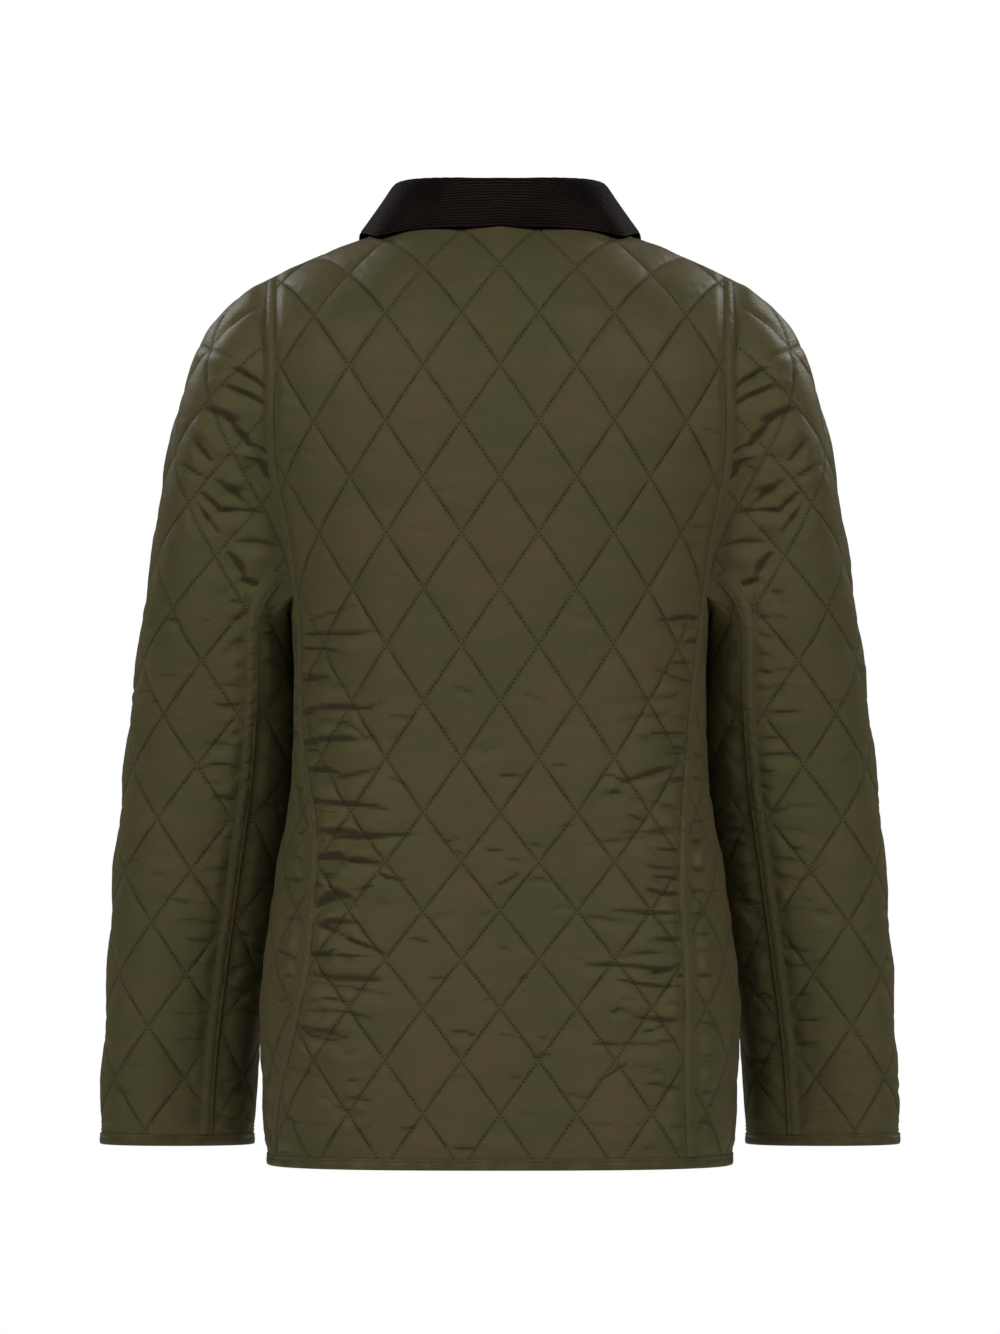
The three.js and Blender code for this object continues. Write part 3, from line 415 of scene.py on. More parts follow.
class SleeveCloth(Cloth):
    """The +X sleeve's surface; u is 0 at the share `middle` of the way round."""

    def __init__(self):
        low = np.arange(0, BICEP_V + 1, SLEEVE_UP)
        share = np.linspace(0, 1, RING_SHARES + 1)
        rings, totals = self.rings(CUFF + low, share)
        below = self.rings([BICEP - 1], share)[0][0]
        grid = rings[-1]
        folded = np.where(share > 0.5, 1 - share, share)
        hole, x, y, z = (SLEEVE_HEAD.read(c, folded) for c in ("hole", "x", "y", "z"))
        away = unit(np.stack([x, np.where(share > 0.5, -y, y), z], axis=-1))
        armhole = armhole_line()
        lengths = measured(armhole)
        at = np.where(share > 0.5, 1 - hole, hole) * lengths[-1]
        head = along(armhole, lengths, at) + away * SEAM_GAP
        span = np.linalg.norm(head - grid, axis=-1)[:, None]
        handles = [
            grid,
            grid + unit(grid - below) * HEAD_PULL * span,
            head + away * HOLE_PULL * span,
            head,
        ]
        shares = curve_shares(np.linspace(0, 1, PROFILE_STEPS + 1)[:, None])
        curves = sum(h[:, None] * s[None] for h, s in zip(handles, shares))
        lengths = measured(curves)
        heights = np.arange(HEAD_UP, HEAD_REACH, HEAD_UP, dtype=float)
        high = np.array([along(c, length, heights) for c, length in zip(curves, lengths)])
        super().__init__(
            np.concatenate([low, BICEP_V + heights]),
            np.concatenate([rings, high.transpose(1, 0, 2)]),
            1 / RING_SHARES,
            1,
        )
        self.low, self.totals, self.share, self.heads = low, totals, share, lengths[:, -1]
        self.middle = 0.0

    @staticmethod
    def rings(z, share):
        z = np.asarray(z, float)
        outer, inner, y, deep = (SLEEVE.read(c, z)[:, None] for c in ("outer", "inner", "y", "deep"))
        turn = np.linspace(0, 2 * math.pi, RING_STEPS + 1)[None]
        out, back = (
            np.sign(f(turn)) * np.abs(f(turn)) ** (2 / SLEEVE_POWER) for f in (np.cos, np.sin)
        )
        points = np.stack(
            [
                (outer + inner) / 2 + out * (outer - inner) / 2,
                y + deep * back,
                np.broadcast_to(z[:, None], (len(z), RING_STEPS + 1)),
            ],
            axis=-1,
        )
        lengths = measured(points)
        placed = [along(p, length, share * length[-1]) for p, length in zip(points, lengths)]
        return np.array(placed), lengths[:, -1]

    def facing_middle(self, middle):
        other = object.__new__(SleeveCloth)
        other.__dict__.update(self.__dict__, middle=middle)
        return other

    def total(self, v):
        return np.interp(v, self.low, self.totals)

    def at(self, u, v):
        u, v = np.broadcast_arrays(np.asarray(u, float), np.asarray(v, float))
        share = self.middle + u / self.total(v)
        far = (share - np.floor(share)) * RING_SHARES
        j = np.clip(far.astype(int), 0, RING_SHARES - 1)
        return self.between(j, far - j, v)

    def top(self, u):
        share = self.middle + u / self.totals[-1]
        return BICEP_V + np.interp(share - np.floor(share), self.share, self.heads)

    def straight_across(self, u, v):
        """Distance round from the outer line, for lines that run straight up to the armhole."""
        if not hasattr(self, "ring_turns"):
            half = np.arange(0, self.totals[-1] / 2)
            ring = self.at(half, BICEP_V)
            up = np.arange(BICEP_V, self.top(0.0))
            self.outer = self.at(0 * up, up)
            self.ring_turns = half
            self.ring_in = np.maximum.accumulate(ring[0, 0] - ring[:, 0])
            self.ring_chord = np.maximum.accumulate(np.linalg.norm(ring - ring[0], axis=-1))
        point = self.at(u, v)
        out_x = np.interp(point[..., 2], self.outer[:, 2], self.outer[:, 0])
        out_y = np.interp(point[..., 2], self.outer[:, 2], self.outer[:, 1])
        inside = np.maximum(out_x - point[..., 0], 0)
        chord = np.hypot(out_x - point[..., 0], out_y - point[..., 1])
        near = np.interp(chord, self.ring_chord, self.ring_turns)
        far = np.interp(inside, self.ring_in, self.ring_turns)
        share = smooth(TURN_FROM, TURN_TO, near)
        straight = np.sign(u) * (near * (1 - share) + far * share)
        return np.where(v > BICEP_V, straight, u), point[..., 2]


# Quilted panels


def body_row(v):
    return BODY_ROWS.read("row", HEM + v)


def sleeve_row(v):
    return (CUFF + v - SLEEVE_ROW_FOOT) / SLEEVE_ROW


def sleeve_cap_counts(cloth):
    """Counts across and up for an upper sleeve, which run on straight over the sleeve's head."""

    def counts(u, v):
        across, z = cloth.straight_across(u, v)
        return across / DIAMOND, (z - SLEEVE_ROW_FOOT) / SLEEVE_ROW

    return counts


LINE_LENGTH = 46.0  # millimetres square to the stitched lines for one whole count
DIAMOND_SIDE = 48.9
STITCHES = 15  # on one side of a diamond
SEAM_RISE = 10
STRIP_WIDTH, EDGE_WIDTH = 8.6, 2.5  # what lies flat beside a seam with a raised strip, and beside others
SUNK, HIGHEST = -1.3, 2.4  # limits of the relief; the upper one counts in puffs
PUFF_POWER = 0.42  # below 0.5 the middle of a diamond is flatter and its stitched lines are sharper
LEAST_STEP = 0.4  # of a step: the nearest that a point comes to the edge
BEVEL = 1.2
HEAD_BEVEL = 4
FULL_SLOPE = 0.6  # slope of a pucker's side that is wholly in the light or the shade
SNAP = 0.85  # how near to a stitched line a point of the mesh is moved onto it
LEVELS_REACH = 900
SEARCH_ROUNDS, LONGEST_MOVE = 14, 12  # of the search for the point where two counts meet


class Panel:
    """A quilted panel in its own flat sizes: u runs across it and v up it."""

    def __init__(self, name, cloth, row, shelf, left, right, top, **more):
        self.name, self.cloth, self.row, self.shelf = name, cloth, row, shelf
        self.left, self.right, self.top = left, right, top
        self.side, self.start, self.foot, self.seed = 1, 0.0, FOOT, 1
        self.strips, self.corners, self.top_bevel = (), (), BEVEL
        self.open = lambda u, v: 1.0
        self.drop = lambda u, v: 0.0
        self.creases, self.folds, self.lattice, self.bent_above = [], [], None, math.inf
        self.__dict__.update(more)
        levels = np.arange(self.foot - 20, LEVELS_REACH, 1.0)
        self.levels, self.counts = levels, row(levels)
        self.noise = Noise(self.seed)

    def level_of(self, count):
        return np.interp(count, self.counts, self.levels)

    def quilt(self, u, v):
        """Counts of the two families of stitched lines, whole on a line."""
        across, row = (u - self.start) / DIAMOND, self.row(v)
        if self.lattice is not None:
            bent_across, bent_row = self.lattice(u, v)
            bent = v > self.bent_above
            across, row = np.where(bent, bent_across, across), np.where(bent, bent_row, row)
        return across + row, across - row

    def steps_to(self, u, v, by_a, by_b):
        """The change of u and v that changes the counts by some amounts."""
        small = 0.5
        here, right, up = self.quilt(u, v), self.quilt(u + small, v), self.quilt(u, v + small)
        au, bu = ((right[k] - here[k]) / small for k in (0, 1))
        av, bv = ((up[k] - here[k]) / small for k in (0, 1))
        size = au * bv - av * bu
        size = np.where(np.abs(size) < 1e-6, 1e-6, size)
        return (by_a * bv - by_b * av) / size, (by_b * au - by_a * bu) / size

    def point_of(self, a, b):
        """Where in the flat two counts meet."""
        u, v = (a + b) / 2 * DIAMOND + self.start, self.level_of((a - b) / 2)
        if self.lattice is None:
            return u, v
        bent = v > self.bent_above
        for _ in range(SEARCH_ROUNDS):
            now_a, now_b = self.quilt(u, v)
            step_u, step_v = self.steps_to(u, v, a - now_a, b - now_b)
            u = u + np.where(bent, np.clip(step_u, -LONGEST_MOVE, LONGEST_MOVE), 0)
            v = v + np.where(bent, np.clip(step_v, -LONGEST_MOVE, LONGEST_MOVE), 0)
        return u, v

    def onto_lines(self, u, v, free):
        """Moves the points that lie close beside a stitched line onto it."""
        a, b = self.quilt(u, v)
        off_a, off_b = np.round(a) - a, np.round(b) - b
        reach = SNAP / LINE_LENGTH
        free = free & (v > self.bent_above)
        by_a = np.where(free & (np.abs(off_a) < reach), off_a, 0)
        by_b = np.where(free & (np.abs(off_b) < reach), off_b, 0)
        step_u, step_v = self.steps_to(u, v, by_a, by_b)
        limit = 1.5 * SNAP
        return u + np.clip(step_u, -limit, limit), v + np.clip(step_v, -limit, limit)

    def puffed(self, u, v):
        a, b = self.quilt(u, v)
        return np.abs(np.sin(math.pi * a) * np.sin(math.pi * b)) ** PUFF_POWER

    def edges(self, u, v):
        """Distances in from the left, right, top and foot edges."""
        return u - self.left(v), self.right(v) - u, self.top(u) - v, v - self.foot

    def strip_width(self, edge):
        return STRIP_WIDTH if edge in self.strips else EDGE_WIDTH

    def in_from(self, edge, v, inset):
        """Distance across at some way in from a side edge."""
        return self.left(v) + inset if edge == "left" else self.right(v) - inset

    def outward(self, u, v):
        out = self.cloth.out(u, v)
        out[..., 0] *= self.side
        return out

    def relief(self, u, v):
        """Height of the outer cloth over the panel's plain surface."""
        sewing = bpy.context.scene.jacket_sewing
        left, right, top, foot = self.edges(u, v)
        near = np.minimum(left - self.strip_width("left"), right - self.strip_width("right"))
        near = np.minimum(near, np.minimum(top - self.strip_width("top"), foot - EDGE_WIDTH))
        rise = smooth(0, SEAM_RISE, near) * self.open(u, v)
        a, b = self.quilt(u, v)
        high = self.puffed(u, v)
        puff = sewing.puff * high * (1 + 0.16 * self.noise(u / 31, v / 23))
        gathers = 0
        for line, place in ((a, b), (b, a)):
            which = np.round(line)
            far = np.abs(line - which) * LINE_LENGTH
            pull = self.noise(place * DIAMOND_SIDE / 4.6 + 17 * which, which * 5.3)
            gathers = gathers + pull * np.exp(-((far / 8) ** 2)) * smooth(0.3, 3.5, far)
        uneven = self.noise(u / 19 + 40, v / 6.5) * 0.28 + self.noise(u / 9, v / 4.2 + 9) * 0.12
        height = rise * (puff + sewing.gather * gathers + uneven * high)
        soft = smooth(0, 5, near)
        height = height + soft * self.crease_relief(u, v) * (0.35 + 0.65 * high)
        return np.clip(height, SUNK, HIGHEST * sewing.puff)

    def crease_relief(self, u, v):
        return troughs(self.creases, u, v)

    def lit_side(self, u, v):
        """How the puckers turn the cloth: up to 1 where it faces up, down to -1 in their shade."""
        step = 1.0
        fall = self.crease_relief(u, v - step) - self.crease_relief(u, v + step)
        fall = fall + self.large_folds(u, v - 2 * step) - self.large_folds(u, v + 2 * step)
        return np.clip(fall / (2 * step) / FULL_SLOPE, -1.2, 1.2)

    def large_folds(self, u, v):
        return troughs(self.folds, u, v)

    def folded(self, u, v):
        """Large folds, which the whole wall follows."""
        left, right, top, foot = self.edges(u, v)
        near = np.minimum(np.minimum(left, right), np.minimum(top, foot))
        return self.large_folds(u, v) * smooth(2, 16, near)

    def place(self, u, v, high):
        """Points at a height over the plain surface."""
        high = high + self.folded(u, v) - self.drop(u, v)
        point = self.cloth.at(u, v) + self.cloth.out(u, v) * np.asarray(high)[..., None]
        point[..., 0] *= self.side
        return point


class Crease:
    """A trough with a soft ridge below it: place, length, lean in degrees, depth and half widths."""

    def __init__(self, u, v, length, lean, deep, above=2.6, below=4.0, bow=0.0):
        self.u, self.v, self.length, self.lean = u, v, length, math.radians(lean)
        self.deep, self.above, self.below, self.bow = deep, above, below, bow


def trough(c, u, v):
    u, v = np.broadcast_arrays(u, v)
    result = np.zeros(u.shape)
    reach = c.length / 2 + 3 * (c.above + c.below)
    close = (np.abs(u - c.u) < reach) & (np.abs(v - c.v) < reach)
    x, y = u[close] - c.u, v[close] - c.v
    s = (x * math.cos(c.lean) + y * math.sin(c.lean)) / (c.length / 2)
    n = -x * math.sin(c.lean) + y * math.cos(c.lean) - c.bow * s * s
    taper = np.clip(1 - s * s, 0, 1) ** 0.8
    wide = np.where(n > 0, c.above, c.below) * (0.55 + 0.45 * taper)
    ridge = np.exp(-(((n + 2.1 * c.below) / (1.3 * c.below)) ** 2))
    result[close] = c.deep * taper * (0.45 * ridge - np.exp(-((n / wide) ** 2)))
    return result


def troughs(creases, u, v):
    total = np.zeros(np.broadcast(u, v).shape)
    for crease in creases:
        total += trough(crease, u, v)
    return total


TOP_ROUNDS = 12  # of the search for the point where a side edge meets the top edge


def top_of(panel, start, edge, inset=0.0):
    """How far up a column runs; one at a side edge follows that edge."""
    top = float(panel.top(start)) - inset
    for _ in range(TOP_ROUNDS if edge else 0):
        top = float(panel.top(edge(top))) - inset
    return top


def lay_out(panel, fine, inset, top_inset):
    """A panel's points and triangles in its flat sizes: rows from its foot up to its shelf, then
    columns from there to its top edge. Stitched lines run along edges of triangles."""
    us, vs, strips = [], [], []
    step = DIAMOND / 2 / fine

    def add(u, v):
        us.append(float(u))
        vs.append(float(v))
        return len(us) - 1

    def heights_of(start, end):
        steps = 2 * fine
        first = math.ceil(panel.row(start) * steps + 1e-6)
        counts = np.arange(first, panel.row(end) * steps) / steps
        return panel.level_of(counts)

    levels = heights_of(panel.foot, panel.shelf)
    gap = levels[1] - levels[0] if len(levels) > 1 else step
    clear = LEAST_STEP * gap
    levels = levels[(levels > panel.foot + clear) & (levels < panel.shelf - clear)]
    levels = np.concatenate([[panel.foot + inset], levels, [panel.shelf]])
    lefts, rights = panel.left(levels) + inset, panel.right(levels) - inset
    grid = []
    for i, v in enumerate(levels):
        first = math.ceil((lefts[i] - panel.start) / step + LEAST_STEP)
        across = panel.start + step * np.arange(first, first + 4000)
        across = across[across < rights[i] - LEAST_STEP * step]
        if i == len(levels) - 1 and len(panel.corners):
            corners = np.asarray(panel.corners)
            apart = np.min(np.abs(across[:, None] - corners[None]), axis=1) > LEAST_STEP * step
            across = np.sort(np.concatenate([across[apart], corners]))
        grid.append([add(u, v) for u in (lefts[i], *across, rights[i])])
    strips += [(grid[i - 1], grid[i]) for i in range(1, len(grid))]
    columns = []
    shelf = grid[-1]
    for index, base in enumerate(shelf):
        column, start = [base], us[base]
        edge = panel.left if index == 0 else panel.right if index == len(shelf) - 1 else None
        cut = inset if index == 0 else -inset
        top = top_of(panel, start, edge, top_inset)
        if top >= panel.shelf + 1:
            for v in heights_of(panel.shelf, top):
                if panel.shelf + clear < v < top - clear:
                    column.append(add(edge(v) + cut if edge else start, v))
            column.append(add(edge(top) + cut if edge else start, top))
        columns.append(column)
    strips += [(columns[i], columns[i - 1]) for i in range(1, len(columns))]
    us, vs = np.array(us), np.array(vs)
    if panel.lattice is not None and fine == FINE:
        fixed = set(grid[0]) | {p for row in grid for p in (row[0], row[-1])}
        fixed |= set(columns[0]) | set(columns[-1]) | {column[-1] for column in columns}
        free = np.ones(len(us), bool)
        free[list(fixed)] = False
        us, vs = panel.onto_lines(us, vs, free)
    high = panel.puffed(us, vs)
    triangles = []
    for one, other in strips:
        zip_lines(one, other, us / step, vs / step, high, triangles)
    rim = list(grid[0]) + [row[-1] for row in grid[1:]] + columns[-1][1:]
    rim += [column[-1] for column in reversed(columns[1:-1])]
    rim += columns[0][::-1] + [row[0] for row in reversed(grid[1:-1])]
    rim = [p for i, p in enumerate(rim) if i == 0 or p != rim[i - 1]]
    return us, vs, triangles, rim


def zip_lines(one, other, us, vs, high, triangles):
    """Triangles between two lines of points that run the same way."""
    x, y, h = us.tolist(), vs.tolist(), high.tolist()
    i = j = 0
    last_i, last_j = len(one) - 1, len(other) - 1

    def cost(p, q):
        return math.hypot(x[p] - x[q], y[p] - y[q]) + 2 * abs(h[p] - h[q]) + h[p] + h[q]

    while i < last_i or j < last_j:
        on_one = cost(one[i + 1], other[j]) if i < last_i else math.inf
        on_other = cost(one[i], other[j + 1]) if j < last_j else math.inf
        if on_one <= on_other:
            triangles.append((one[i], one[i + 1], other[j]))
            i += 1
        else:
            triangles.append((one[i], other[j + 1], other[j]))
            j += 1


class Shell:
    """A closed skin: points in millimetres, triangles, two flat maps of its points, and how far each
    point lies on a pucker's lit side, above 0, or on its shaded side."""

    def __init__(self, points, triangles, cloth=None, quilt=None, fold=None):
        points = np.asarray(points, float)
        faces = np.asarray(triangles, int)
        corner = points[faces]
        volume = np.einsum("ij,ij->i", corner[:, 0], np.cross(corner[:, 1], corner[:, 2])).sum()
        self.points, self.faces = points, faces if volume > 0 else faces[:, ::-1]
        self.cloth = np.zeros((len(points), 2)) if cloth is None else cloth
        self.quilt = np.full((len(points), 2), 0.5) if quilt is None else quilt
        self.fold = np.zeros(len(points)) if fold is None else fold


SHARP = math.radians(50)  # edges that turn more than this look sharp


def make_piece(name, shells, material, replaces=()):
    """Joins shells into one piece that rides with the jacket."""
    sizes = np.cumsum([0] + [len(s.points) for s in shells])
    points = np.concatenate([s.points for s in shells]) * MM
    faces = np.concatenate([s.faces + size for s, size in zip(shells, sizes)])
    mesh = bpy.data.meshes.new(name)
    mesh.from_pydata(points.tolist(), [], faces.tolist())
    corners = np.empty(len(mesh.loops), np.int32)
    mesh.loops.foreach_get("vertex_index", corners)
    for layer in ("cloth", "quilt"):
        values = np.concatenate([getattr(s, layer) for s in shells])
        mesh.uv_layers.new(name=layer).uv.foreach_set("vector", values[corners].ravel())
    # The fold attribute: how far each point lies on a pucker's lit or shaded side, which the cloth's colour
    # paints as light and shade
    folds = np.concatenate([s.fold for s in shells]).astype(np.float32)
    mesh.attributes.new("fold", "FLOAT", "POINT").data.foreach_set("value", folds)
    mesh.polygons.foreach_set("use_smooth", np.ones(len(faces), bool))
    mesh.set_sharp_from_angle(angle=SHARP)
    mesh.materials.append(material)
    mesh.update()
    piece = bpy.data.objects.new(name, mesh)
    bpy.context.scene.collection.objects.link(piece)
    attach(piece, BODY)
    if replaces:
        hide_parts(*replaces)
    return piece


def wall_shell(panel, fine, inner_fine):
    """A quilted panel's closed wall: quilted outside, plain inside."""
    u, v, faces, rim = lay_out(panel, fine, 0, 0)
    inner_u, inner_v, inner_faces, inner_rim = lay_out(panel, inner_fine, BEVEL, panel.top_bevel)
    outer = panel.place(u, v, panel.relief(u, v))
    inner = panel.place(inner_u, inner_v, np.full(len(inner_u), -WALL))
    shift = len(u)
    faces = list(faces) + [(a + shift, c + shift, b + shift) for a, b, c in inner_faces]
    all_u, all_v = np.concatenate([u, inner_u]), np.concatenate([v, inner_v])
    band = []
    zip_lines(
        rim + rim[:1],
        [p + shift for p in inner_rim + inner_rim[:1]],
        all_u, all_v, np.zeros(len(all_u)), band,
    )
    faces += [(a, c, b) for a, b, c in band]
    quilt = np.concatenate([
        np.stack(panel.quilt(u, v), axis=-1), np.full((len(inner_u), 2), 0.5),
    ])
    # how far each point lies on a pucker's lit or shaded side, for the painted light and shade in the
    # cloth's colour
    fold = np.concatenate([panel.lit_side(u, v), np.zeros(len(inner_u))])
    return Shell(
        np.concatenate([outer, inner]), faces, np.stack([all_u, all_v], axis=-1) * MM, quilt, fold,
    )


STRIP_STEP = 1.2
WAIST_V, WAIST_SPREAD = 290, 70  # where the seams are gathered most
STRIP_SUNK = -1.5  # the strip's underside, inside the wall


def strip_shell(panel, edge, ends):
    """The raised strip along a panel's seam, drawn up a little between its rows of stitches."""
    sewing = bpy.context.scene.jacket_sewing
    count = int((ends[1] - ends[0]) / STRIP_STEP)
    v = np.linspace(ends[0], ends[1], count)[:, None]
    insets, high = STRIP.rows[:, 0], STRIP.rows[:, 1]
    inset = np.concatenate([[insets[0]], insets, [insets[-1]]])[None]
    u = panel.in_from(edge, v, inset)
    noise = Noise(panel.seed + (50 if edge == "left" else 51))
    window = smooth(1.4, 3.2, inset) * (1 - smooth(6.4, 8.2, inset))
    drawn = noise(v / 2.3, inset / 9) + 0.5 * noise(v / 5.1 + 30, inset / 12)
    strength = 0.55 + 0.45 * noise(v / 60 + 7, 0 * inset) + np.exp(-(((v - WAIST_V) / WAIST_SPREAD) ** 2))
    low_end = 0.25 + 0.75 * smooth(0, 22, ends[1] - v)
    height = np.full((count, len(high) + 2), STRIP_SUNK)
    height[:, 1:-1] = high[None] * low_end
    height = height + sewing.ladder * window * drawn * strength
    # Painted light and shade on the gathers: the cloth's colour is lighter and greener where they face up
    # and darker where they face down
    fold = np.clip(-np.gradient(height, v[:, 0], axis=0) / FULL_SLOPE, -1, 1)
    points = panel.place(u, v + 0 * inset, height)
    size = inset.shape[1]
    faces = []
    for i in range(count - 1):
        for k in range(size):
            a, b = i * size + k, i * size + (k + 1) % size
            faces += [(a, b, b + size), (a, b + size, a + size)]
    end = (count - 1) * size
    for k in range(1, size - 1):
        faces += [(0, k + 1, k), (end, end + k, end + k + 1)]
    flat = np.stack([u, v + 0 * inset], axis=-1).reshape(-1, 2) * MM
    return Shell(points.reshape(-1, 3), faces, flat, fold=fold.ravel())


# A stitch's triangles: four corners round its middle, then its outer and its inner point.
DOUBLE_POINT = np.array([
    (0, 1, 4), (1, 2, 4), (2, 3, 4), (3, 0, 4), (1, 0, 5), (2, 1, 5), (3, 2, 5), (0, 3, 5),
])


def stitch_shell(centre, forward, out):
    """Rows of small raised stitches, all in one skin: each is a slim double point."""
    sewing = bpy.context.scene.jacket_sewing
    forward = unit(forward)
    aside = unit(np.cross(forward, out))
    tips = []
    for way, size in ((forward, sewing.stitch_length), (aside, sewing.thread)):
        tips.append(way * size / 2)
    tips += [-tips[0], -tips[1], out * sewing.thread * 0.45, -out * sewing.thread * 0.45]
    points = np.stack([centre + tip for tip in tips], axis=1)
    faces = (np.arange(len(centre))[:, None, None] * len(tips) + DOUBLE_POINT[None]).reshape(-1, 3)
    return Shell(points.reshape(-1, 3), faces)


HALF_STITCH = 1.2
THREAD_OUT = 0.18  # how far the middle of a stitch lies over the cloth
HIGHEST_STITCH, WIDEST_STITCH = 780.0, 400  # beyond any panel's edges
MISSED = 0.01  # a count this far from its line wasn't found


def quilt_stitches(panel):
    """The stitches on a panel's diamonds."""
    sewing = bpy.context.scene.jacket_sewing
    counts = panel.row(np.array([panel.foot, HIGHEST_STITCH]))
    widest = WIDEST_STITCH / DIAMOND
    shells = []
    for turned in (1, -1):
        line = np.arange(math.floor(-widest - counts[1]), math.ceil(widest + counts[1]) + 1)
        place = (np.arange(len(line) * STITCHES) + 0.5) / STITCHES + line[0]
        line, place = (x.ravel() for x in np.meshgrid(line, place))

        def flat(place):
            a, b = (line, place) if turned > 0 else (place, line)
            return panel.point_of(a, b)

        row = (line - place) / 2 * turned
        keep = (row > counts[0]) & (row < counts[1])
        line, place = line[keep], place[keep]
        u, v = flat(place)
        if panel.lattice is not None:
            a, b = panel.quilt(u, v)
            want = (line, place) if turned > 0 else (place, line)
            found = (np.abs(a - want[0]) < MISSED) & (np.abs(b - want[1]) < MISSED)
            line, place, u, v = line[found], place[found], u[found], v[found]
        left, right, top, foot = panel.edges(u, v)
        inside = (left > panel.strip_width("left")) & (right > panel.strip_width("right"))
        inside &= (top > panel.strip_width("top")) & (foot > 1) & (panel.open(u, v) > 0.05)
        line, place, u, v = line[inside], place[inside], u[inside], v[inside]
        near = HALF_STITCH / DIAMOND_SIDE
        ends = []
        for shift in (-near, near):
            end_u, end_v = flat(place + shift)
            ends.append(panel.place(end_u, end_v, panel.relief(end_u, end_v)))
        out = panel.outward(u, v)
        centre, forward = (ends[0] + ends[1]) / 2 + out * THREAD_OUT, ends[1] - ends[0]
        whole = np.linalg.norm(forward, axis=-1) < 2 * sewing.stitch_length
        shells.append(stitch_shell(centre[whole], forward[whole], out[whole]))
    return shells


ROW_PITCH = 3.1  # from stitch to stitch in a row beside a seam


def row_stitches(line, out):
    """One row of stitches along a line of points."""
    lengths = measured(line)
    at = np.arange(ROW_PITCH, lengths[-1] - ROW_PITCH / 2, ROW_PITCH)
    centre = along(line, lengths, at)
    forward = along(line, lengths, at + 0.5) - along(line, lengths, at - 0.5)
    return stitch_shell(centre, forward, along(out, lengths, at))


STRIP_ROWS, STRIP_ROW_HIGH = (1.5, 8.2), 0.85  # the rows of stitches on a seam's strip


def edge_stitches(panel, edge, low, high):
    """Rows of stitches along the strip beside a panel's side edge."""
    v = np.linspace(low, high, int((high - low) / 2))
    shells = []
    for inset in STRIP_ROWS:
        u = panel.in_from(edge, v, inset)
        shells.append(row_stitches(panel.place(u, v, 0 * v + STRIP_ROW_HIGH), panel.outward(u, v)))
    return shells


def side_puckers(panel, edge, low, high, count, seed, longest, deepest):
    """Puckers that a seam draws into the cloth beside it, uneven in length, depth and spacing."""
    random = np.random.RandomState(seed)
    found = []
    levels = np.linspace(low, high, count) + random.uniform(-0.48, 0.48, count) * (high - low) / count
    for v in levels:
        length = longest * random.uniform(0.3, 1) ** 1.5 + 9
        u = panel.in_from(edge, v, panel.strip_width(edge) + 0.44 * length)
        found.append(Crease(
            u, v, length, random.normal(0, 8), deepest * random.uniform(0.3, 1),
            above=random.uniform(1.6, 3.4), below=random.uniform(3.0, 6.5), bow=random.normal(0, 3),
        ))
    return found


def loose_puckers(panel, low, high, count, seed, longest, deepest):
    """Shallow puckers spread at random over a panel."""
    random = np.random.RandomState(seed)
    found = []
    for _ in range(count):
        v = random.uniform(low, high)
        left, right = float(panel.left(v)), float(panel.right(v))
        found.append(Crease(
            random.uniform(left + 12, right - 12), v, longest * random.uniform(0.3, 1),
            random.normal(0, 13), deepest * random.uniform(0.25, 1),
            above=random.uniform(1.4, 2.4), below=random.uniform(2.4, 4.6), bow=random.normal(0, 2),
        ))
    return found


def flat_size(panel):
    """The size and area that a panel was cut to, in metres."""
    levels = np.linspace(panel.foot, panel.shelf, 120)
    widths = panel.right(levels) - panel.left(levels)
    low = np.trapz(widths, levels)
    across = np.linspace(float(panel.left(panel.shelf)), float(panel.right(panel.shelf)), 160)
    rise = np.maximum(panel.top(across) - panel.shelf, 0)
    area = (low + np.trapz(rise, across)) * MM * MM
    width = widths.max() * MM
    length = (panel.shelf + rise.max() - panel.foot) * MM
    return (float(width), float(length)), float(min(area, width * length))


# A panel's puckers: the edge they run in from, or None for all over it, the heights they lie between,
# their count, the seed of their draws, and the longest and deepest of them.
PUCKERS = {
    "back": (
        ("left", 90, 400, 32, 3, 84, 4.4),
        ("left", 15, 90, 6, 33, 40, 1.8),
        ("left", 400, 570, 8, 23, 38, 1.5),
        ("right", 90, 400, 32, 4, 84, 4.4),
        ("right", 15, 90, 6, 34, 40, 1.8),
        ("right", 400, 570, 8, 24, 38, 1.5),
        (None, 15, 350, 120, 5, 36, 2.0),
        (None, 350, 650, 44, 6, 34, 0.9),
    ),
    "side": (
        ("left", 20, 330, 26, 31, 30, 2.4),
        ("right", 20, 330, 22, 33, 26, 1.8),
        (None, 20, 340, 36, 35, 24, 1.4),
    ),
    "front": (
        ("right", 40, 390, 26, 51, 60, 2.6),
        (None, 20, 620, 90, 53, 30, 1.2),
    ),
    "upper": (
        ("right", 20, 400, 34, 71, 36, 2.2),
        ("left", 20, 400, 34, 78, 36, 2.2),
        (None, 10, 420, 110, 74, 30, 1.5),
    ),
    "under": (
        ("left", 20, 390, 26, 75, 30, 2.0),
        (None, 10, 390, 50, 76, 26, 1.4),
    ),
}


def add_puckers(panel, kind, side=0):
    """Adds a kind of panel's puckers, drawn otherwise on each side of the jacket."""
    for edge, low, high, count, seed, longest, deepest in PUCKERS[kind]:
        sizes = (low, high, count, seed + side, longest, deepest)
        panel.creases += side_puckers(panel, edge, *sizes) if edge else loose_puckers(panel, *sizes)


FINE, INNER_FINE = 16, 3  # parts of half a diamond between the points outside and inside


